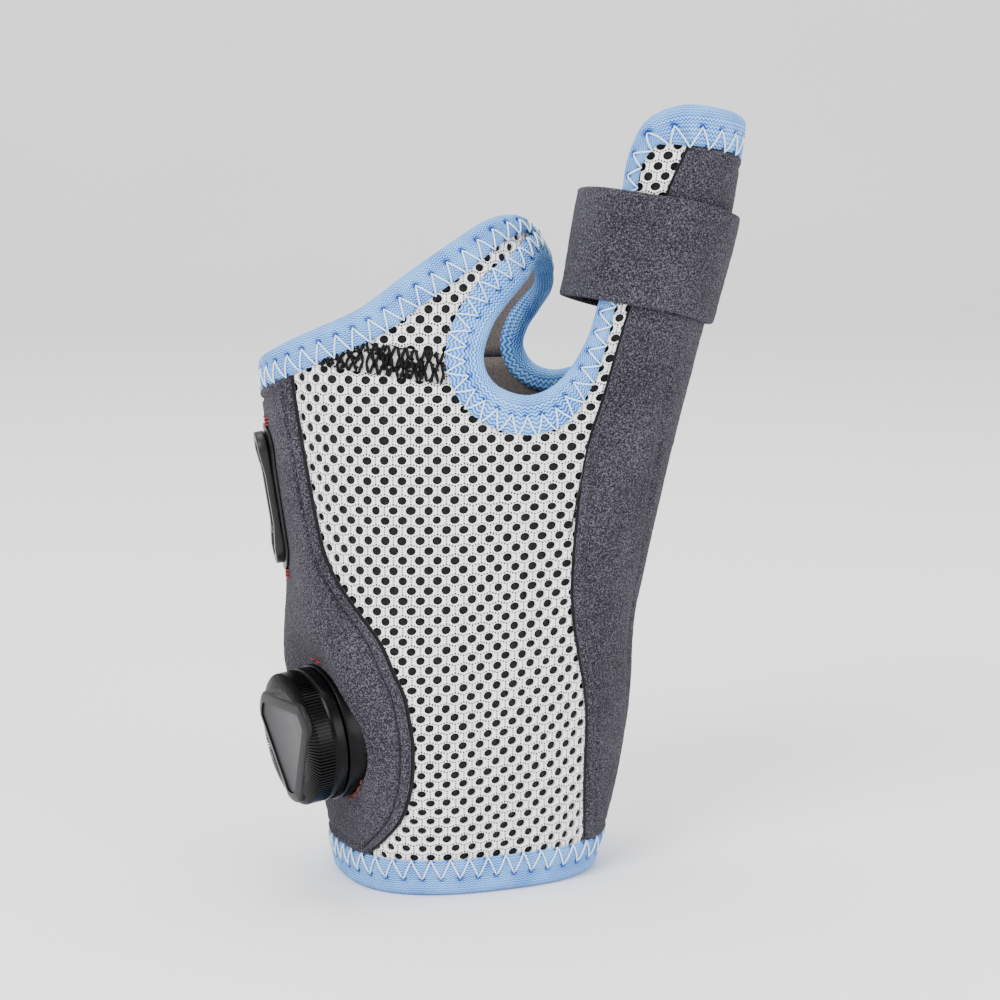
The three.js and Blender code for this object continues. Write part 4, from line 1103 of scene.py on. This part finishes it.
def newCylinder(vertices, radius, depth, place):
    bpy.ops.mesh.primitive_cylinder_add(vertices=vertices, radius=radius * mm, depth=depth * mm,
                                        location=[value * mm for value in place])
    bpy.ops.object.transform_apply(location=True)
    return bpy.context.object


def selectAll():
    bpy.ops.mesh.select_all(action="SELECT")


def move(x, y, z):
    bpy.ops.transform.translate(value=(x * mm, y * mm, z * mm))


def extrude(x, y, z):
    bpy.ops.mesh.extrude_region_move(TRANSFORM_OT_translate={"value": (x * mm, y * mm, z * mm)})


def cutAcross(levels, axis):
    for level in levels:
        selectAll()
        bpy.ops.mesh.bisect(plane_co=[level * mm * k for k in axis], plane_no=axis)


# Turns a round of 40 sides into a long oval, in edit mode
def drawOut(obj, stretch):
    selectAll()
    bpy.ops.transform.rotate(value=math.pi / 40, orient_axis="Z", center_override=(0, 0, 0))
    for sign in (1, -1):
        pickVerts(obj, lambda co: co.y * sign > 0)
        move(0, sign * stretch, 0)


def copyOf(obj):
    copy = obj.copy()
    copy.data = obj.data.copy()
    bpy.context.scene.collection.objects.link(copy)
    return copy


# Lays a piece, or one group of its vertices, on the panel along the fitting's axis
def layOnPanel(obj, matrix, gap, group=""):
    obj.matrix_world = matrix
    bpy.context.view_layer.update()
    wrap = obj.modifiers.new("lay", "SHRINKWRAP")
    wrap.target = ulnarPanel
    wrap.wrap_method = "PROJECT"
    wrap.use_project_z = True
    wrap.use_negative_direction = True
    wrap.use_positive_direction = True
    wrap.offset = gap * mm
    wrap.vertex_group = group
    bpy.ops.object.modifier_apply(modifier=wrap.name)


def setInPlace(obj, name, matrix, material, body, node):
    bpy.ops.object.mode_set(mode="OBJECT")
    clearSelection()
    obj.select_set(True)
    bpy.context.view_layer.objects.active = obj
    obj.name = name
    obj.data.name = name
    obj.matrix_world = matrix
    bpy.ops.object.transform_apply(location=True, rotation=True, scale=True)
    bpy.ops.object.shade_smooth_by_angle(angle=math.radians(38))
    obj.data.materials.clear()
    obj.data.materials.append(material)
    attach(obj, body)
    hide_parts(node)
    return obj


def joinAll(objects):
    clearSelection()
    for obj in objects:
        obj.select_set(True)
    bpy.context.view_layer.objects.active = objects[0]
    bpy.ops.object.join()
    return objects[0]


dial = {"base": 16.2, "knob": 15.8, "height": 7.4, "band": 2.8, "low": 0.15, "shoulder": 7.0,
        "dome": ((0.5, 0.35), (2.6, 0.9), (2.4, 0.35), (4.0, -0.3)), "ridges": 120, "ridgeWide": 0.42,
        "ridgeRise": 0.35,
        "ridgePath": ((0.5, 0.35), (2.6, 0.9), (1.5, 0.05)),
        "side": 10.3, "cut": 7.6, "cutRound": 0.34, "plateLow": 7.4, "plateThick": 1.9, "slope": 0.6, "rim": 1.9,
        "sink": 0.5, "sinkFrom": 13.2, "recess": 0.6, "turn": 3.0, "foot": 5.0, "sides": 144, "bandStep": 0.5,
        "waist": 0.45, "knobRound": 0.35, "ridgeDeep": 0.6, "ridgeTop": 0.6, "plateRound": 0.18, "baseRound": 0.45,
        "footRings": 4, "footInset": 3.0, "footGap": 0.1}
dialMatrix = fittingMatrix(dialCentre, pressAxis)


def dialKnob():
    tall = dial["height"] - dial["low"]
    knob = newCylinder(dial["sides"], dial["knob"], tall, (0, 0, dial["low"] + tall / 2))
    startEdit(knob)
    cutAcross((dial["band"], dial["band"] + dial["bandStep"]), (0, 0, 1))
    pickVerts(knob, lambda co: co.z > (dial["band"] + 0.3) * mm)
    shrink = (dial["knob"] - dial["waist"]) / dial["knob"]
    bpy.ops.transform.resize(value=(shrink, shrink, 1), center_override=(0, 0, 0))
    pickVerts(knob, lambda co: co.z > (dial["height"] - 0.1) * mm)
    move(0, 0, dial["shoulder"] - dial["height"])
    pickFaces(knob, lambda centre, normal: normal.z > 0.9)
    for thickness, rise in dial["dome"]:
        bpy.ops.mesh.inset(thickness=thickness * mm, depth=0)
        move(0, 0, rise)
    applyBevel(knob, dial["knobRound"] * mm, 3, 20)
    bpy.ops.mesh.primitive_cube_add(size=1, location=(0, 0, 0))
    ridge = bpy.context.object
    outer = dial["knob"] - 0.05
    tallSide = dial["shoulder"] - dial["band"] - 0.7 + dial["ridgeRise"]
    ridge.scale = (dial["ridgeDeep"] * mm, dial["ridgeWide"] * mm, tallSide * mm)
    ridge.location = ((outer - dial["ridgeDeep"] / 2) * mm, 0, (dial["band"] + 0.6 + tallSide / 2) * mm)
    bpy.ops.object.transform_apply(location=True, rotation=True, scale=True)
    startEdit(ridge)
    pickFaces(ridge, lambda centre, normal: normal.z > 0.9)
    for inward, rise in dial["ridgePath"]:
        extrude(-inward, 0, rise)
    bpy.ops.transform.resize(value=(1, dial["ridgeTop"], 1), center_override=(0, 0, 0))
    bpy.ops.object.mode_set(mode="OBJECT")
    pieces = [knob]
    for k in range(dial["ridges"]):
        copy = copyOf(ridge)
        copy.rotation_euler = (0, 0, 2 * math.pi * k / dial["ridges"])
        pieces.append(copy)
    bpy.data.objects.remove(ridge)
    return setInPlace(joinAll(pieces), "dialKnob", dialMatrix, black, "dial", "dial_knob")


def dialPlate():
    bpy.ops.mesh.primitive_circle_add(vertices=3, radius=2 * dial["side"] * mm, fill_type="NGON",
                                      location=(0, 0, 0))
    plate = bpy.context.object
    startEdit(plate)
    selectAll()
    first = plate.data.vertices[0].co
    turn = math.degrees(math.atan2(first.y, first.x)) - (dial["turn"] - 90)
    bpy.ops.transform.rotate(value=math.radians(turn), orient_axis="Z", center_override=(0, 0, 0))
    bpy.ops.mesh.select_mode(type="VERT")
    selectAll()
    bpy.ops.mesh.bevel(offset=dial["cut"] * mm, segments=8, affect="VERTICES", profile=dial["cutRound"])
    selectAll()
    move(0, 0, dial["plateLow"])
    extrude(0, 0, dial["plateThick"])
    selectAll()
    bpy.ops.mesh.normals_make_consistent(inside=False)
    pickFaces(plate, lambda centre, normal: normal.z > 0.9)
    bpy.ops.mesh.bevel(offset=dial["slope"] * mm, segments=3, affect="EDGES")
    topAt = (dial["plateLow"] + dial["plateThick"] - 0.02) * mm
    pickFaces(plate, lambda centre, normal: normal.z > 0.99 and centre.z > topAt)
    bpy.ops.mesh.inset(thickness=dial["rim"] * mm, depth=0)
    extrude(0, 0, -dial["recess"])
    sinkAt, sinkLow = dial["sinkFrom"] * mm, (dial["plateLow"] + 0.8) * mm
    pickVerts(plate, lambda co: math.hypot(co.x, co.y) > sinkAt and co.z > sinkLow)
    move(0, 0, -dial["sink"])
    applyBevel(plate, dial["plateRound"] * mm, 2, 40)
    floorAt = (dial["plateLow"] + dial["plateThick"] - dial["recess"] + 0.05) * mm
    turns = np.radians(dial["turn"] + 90 + np.array([0, 120, 240]))
    ways = [Vector((math.cos(a), math.sin(a), 0)) for a in turns]
    wallAt = (dial["side"] - dial["slope"] - dial["rim"] + 0.3) * mm
    finish = []
    for face in plate.data.polygons:
        centre, facing = face.center, face.normal.z
        isInside = max(centre.dot(way) for way in ways) < wallAt and centre.to_2d().length < sinkAt
        # the walls of the recess take dialBlack as painted shade; the field takes capGrey and the rest plateFrame
        isShadedWall = isInside and facing < 0.6 and centre.z > dial["plateLow"] * mm
        isField = centre.z < floorAt and facing > 0.9
        finish.append(1 if isField else 2 if isShadedWall else 0)
    setInPlace(plate, "dialPlate", dialMatrix, frameGrey, "dial", "dial_cap")
    plate.data.materials.append(grey)
    plate.data.materials.append(black)
    plate.data.polygons.foreach_set("material_index", finish)
    return plate


def dialBase():
    tall = dial["foot"]
    base = newCylinder(dial["sides"], dial["base"], tall, (0, 0, -dial["low"] - tall / 2))
    startEdit(base)
    pickFaces(base, lambda centre, normal: normal.z < -0.9)
    for _ in range(dial["footRings"]):
        bpy.ops.mesh.inset(thickness=dial["footInset"] * mm, depth=0)
    bpy.ops.object.mode_set(mode="OBJECT")
    foot = base.vertex_groups.new(name="foot")
    foot.add([v.index for v in base.data.vertices if v.co.z < -0.5 * tall * mm], 1.0, "REPLACE")
    layOnPanel(base, dialMatrix, dial["footGap"], "foot")
    base.matrix_world = Matrix.Identity(4)
    applyBevel(base, dial["baseRound"] * mm, 3, 40)
    return setInPlace(base, "dialBase", dialMatrix, black, "sleeve", "dial_base")


dialPieces = [dialBase(), dialKnob(), dialPlate()]

guide = {"around": 7.0, "up": 92.2, "seat": 0.6, "length": 32.0, "width": 9.5, "thick": 2.3, "plate": 0.9,
         "frame": 2.2, "post": 1.1, "postTall": 1.2, "spacing": 15.0, "cuts": (-9.0, -6.0, 0.0, 6.0, 9.0),
         "bow": ((9.5, 0.3), (6.5, 0.35)), "round": 0.35, "postRound": 0.25, "flange": 1.7, "flangeThick": 0.6,
         "flangeGap": 0.12, "flangeRound": 0.12, "flangeCuts": (-14, -11, -8, -5, -2, 2, 5, 8, 11, 14),
         "flangeRuns": (-5, -3.5, -2, 0, 2, 3.5, 5)}
guidePoint, _, _, guideNormal = wallFrames(np.array(0), np.array(guide["around"]), np.array(guide["up"]))
guideMatrix = fittingMatrix(guidePoint + guideNormal * guide["seat"], guideNormal)


def laceGuide():
    radius = guide["width"] / 2
    stretch = guide["length"] / 2 - radius
    obj = newCylinder(40, radius, guide["plate"], (0, 0, guide["plate"] / 2))
    startEdit(obj)
    drawOut(obj, stretch)
    cutAcross(guide["cuts"], (0, 1, 0))
    pickFaces(obj, lambda centre, normal: normal.z > 0.9)
    bpy.ops.mesh.inset(thickness=guide["frame"] * mm, depth=0)
    slotX = (guide["width"] / 2 - guide["frame"]) * 0.9 * mm
    slotY = (guide["length"] / 2 - guide["frame"] - 0.3) * mm
    isSlot = lambda c: abs(c.x) < slotX and abs(c.y) < slotY
    pickFaces(obj, lambda centre, normal: normal.z > 0.9 and not isSlot(centre))
    extrude(0, 0, guide["thick"] - guide["plate"])
    for limit, sink in guide["bow"]:
        pickVerts(obj, lambda co: co.z > (guide["plate"] + 0.3) * mm and abs(co.y) < limit * mm)
        move(0, 0, -sink)
    applyBevel(obj, guide["round"] * mm, 3, 40)
    post = newCylinder(20, guide["post"], guide["postTall"], (0, guide["spacing"] / 2, guide["plate"] + 0.5))
    applyBevel(post, guide["postRound"] * mm, 2, 40)
    other = copyOf(post)
    other.location = (0, -guide["spacing"] * mm, 0)
    bpy.ops.mesh.primitive_circle_add(vertices=40, radius=(radius + guide["flange"]) * mm, fill_type="NGON",
                                      location=(0, 0, 0))
    foot = bpy.context.object
    startEdit(foot)
    drawOut(foot, stretch)
    cutAcross(guide["flangeCuts"], (0, 1, 0))
    cutAcross(guide["flangeRuns"], (1, 0, 0))
    selectAll()
    bpy.ops.mesh.remove_doubles(threshold=0.1 * mm)
    bpy.ops.object.mode_set(mode="OBJECT")
    layOnPanel(foot, guideMatrix, guide["flangeGap"])
    thick = foot.modifiers.new("thick", "SOLIDIFY")
    thick.thickness = guide["flangeThick"] * mm
    thick.offset = 1.0
    bpy.ops.object.modifier_apply(modifier=thick.name)
    foot.matrix_world = Matrix.Identity(4)
    applyBevel(foot, guide["flangeRound"] * mm, 2, 50)
    joined = joinAll([obj, foot, post, other])
    return setInPlace(joined, "laceGuide", guideMatrix, guideBlack, "sleeve", "lace_guide")


guidePiece = laceGuide()

redStitch = {"ring": 17.4, "arcs": ((80, 99, 2), (-70, -31, 4)), "end": 17.6, "apart": 0.8, "middle": 1.6,
             "half": 2.6, "rings": 5, "sides": 6, "radius": 0.27, "lift": 0.12, "hop": 0.3, "part": 0.82}


def sewnStitches(name, start, finish, around, up):
    share = np.linspace(0, 1, redStitch["rings"])
    target = start[:, None] + (finish - start)[:, None] * share[:, None]
    branch = np.zeros(target.shape[:2], int)
    spotA, spotU = settle(branch, np.full(branch.shape, around), np.full(branch.shape, up), target)
    centres = lifted(branch, spotA, spotU, redStitch["lift"] + redStitch["hop"] * np.sin(np.pi * share))
    normals = wallFrames(branch, spotA, spotU)[3]
    return threadPieces(name, centres, normals, redStitch["radius"], redStitch["sides"], stitchRed)


def inFrame(matrix, x, y):
    return np.array([matrix @ Vector((a * mm, b * mm, 0)) for a, b in zip(x, y)]) / mm


edges = [np.linspace(low, high, count + 1) for low, high, count in redStitch["arcs"]]
turns = np.radians(np.concatenate([e[:-1] for e in edges]))
spans = np.radians(np.concatenate([np.diff(e) for e in edges])) * redStitch["part"]
ring = [inFrame(dialMatrix, redStitch["ring"] * np.cos(t), redStitch["ring"] * np.sin(t))
        for t in (turns, turns + spans)]
sewnStitches("dialStitches", ring[0], ring[1], press["start"], press["up"])
ends = np.array([sign * (redStitch["end"] + k * redStitch["apart"]) for sign in (1, -1) for k in range(3)])
rungs = [inFrame(guideMatrix, np.full(len(ends), redStitch["middle"] + side * redStitch["half"]), ends)
         for side in (-1, 1)]
sewnStitches("guideStitches", rungs[0], rungs[1], guide["around"], guide["up"])
print("fittings:", [len(o.data.polygons) for o in dialPieces + [guidePiece]])


# Soft pieces, each with how it lies and the pieces under it
wallSheets = [side + layer for layer in ("Knit", "Lining") for side in ("front", "back")]
wallSheets += ["webKnitNear", "webKnitFar", "webLining"]
bindings = ("fingerBinding", "thumbBinding", "wristBinding")
spacers = {"front": "frontSpacer", "back": "backSpacer", "web": "webSpacer"}
declared = [(name, "laid", [spacers[name.split("Knit")[0].split("Lining")[0]]]) for name in wallSheets]
declared += [(name, "laid", ["frontKnit", "backKnit"]) for name in ("ulnarPanel", "thumbPanel")]
declared += [(name, "folded", ["frontKnit", "backKnit"]) for name in bindings]
declared += [("thumbStrap", "stretched", ["thumbPanel"])]


# Floor, light and camera
stage = {"floor": 4.0, "back": 1.5, "rise": 2.4, "bend": 0.6, "dark": (0.88, 0.88, 0.89),
         "pale": (0.91, 0.91, 0.92)}
lights = {"keyLight": ((-0.7, -1.1, 1.1), 0.09, 0.9, 32.0), "fillLight": ((1.1, -0.9, 0.5), 0.09, 0.9, 13.0),
          "topLight": ((0.0, 0.3, 1.5), 0.05, 1.2, 20.0)}  # place, height of the target, size, power


def studioFloor():
    bpy.ops.object.mode_set(mode="OBJECT")
    profile = [(-stage["floor"], 0.0)]
    for k in range(13):
        turn = math.pi / 2 * k / 12
        profile.append((stage["back"] + stage["bend"] * math.sin(turn), stage["bend"] * (1 - math.cos(turn))))
    profile.append((stage["back"] + stage["bend"], stage["rise"]))
    points = [(x, y, z) for y, z in profile for x in (-stage["floor"], stage["floor"])]
    faces = [(2 * k, 2 * k + 1, 2 * k + 3, 2 * k + 2) for k in range(len(profile) - 1)]
    mesh = bpy.data.meshes.new("studioFloor")
    mesh.from_pydata(points, [], faces)
    mesh.polygons.foreach_set("use_smooth", np.full(len(faces), True))
    material, tree, shader, coords = newMaterial("floorPale", {"Roughness": 0.85, "Specular IOR Level": 0.2})
    tone = noiseNode(tree, coords.outputs["Object"], 3.0, 2.0)
    colour = rampNode(tree, tone, [(0.3, stage["dark"]), (0.7, stage["pale"])])
    tree.links.new(colour, shader.inputs["Base Color"])
    mesh.materials.append(material)
    floor = bpy.data.objects.new("studioFloor", mesh)
    bpy.context.scene.collection.objects.link(floor)


def areaLight(name, place, target, size, power):
    data = bpy.data.lights.new(name, "AREA")
    data.shape = "DISK"
    data.size = size
    data.energy = power
    light = bpy.data.objects.new(name, data)
    light.location = place
    light.rotation_euler = (Vector(target) - Vector(place)).to_track_quat("-Z", "Y").to_euler()
    bpy.context.scene.collection.objects.link(light)


studioFloor()
for name, (place, targetUp, size, power) in lights.items():
    areaLight(name, place, (0, 0, targetUp), size, power)
world = bpy.data.worlds.new("studioWorld")
world.use_nodes = True
world.node_tree.nodes["Background"].inputs["Color"].default_value = (1.0, 1.0, 1.0, 1.0)
world.node_tree.nodes["Background"].inputs["Strength"].default_value = 1.0
bpy.context.scene.world = world

view = {"target": (0.0012, 0.0022, 0.09), "distance": 0.62, "elevation": 9.0, "lens": 92.99, "sensor": 36.0}
cameraData = bpy.data.cameras.new("photoCamera")
cameraData.lens = view["lens"]
cameraData.sensor_width = view["sensor"]
cameraData.clip_start = 0.01
cameraData.clip_end = 50.0
camera = bpy.data.objects.new("photoCamera", cameraData)
tilt = math.radians(view["elevation"])
camera.location = Vector(view["target"]) + view["distance"] * Vector((0, -math.cos(tilt), math.sin(tilt)))
camera.rotation_euler = (math.pi / 2 - tilt, 0, 0)
bpy.context.scene.collection.objects.link(camera)
bpy.context.scene.camera = camera
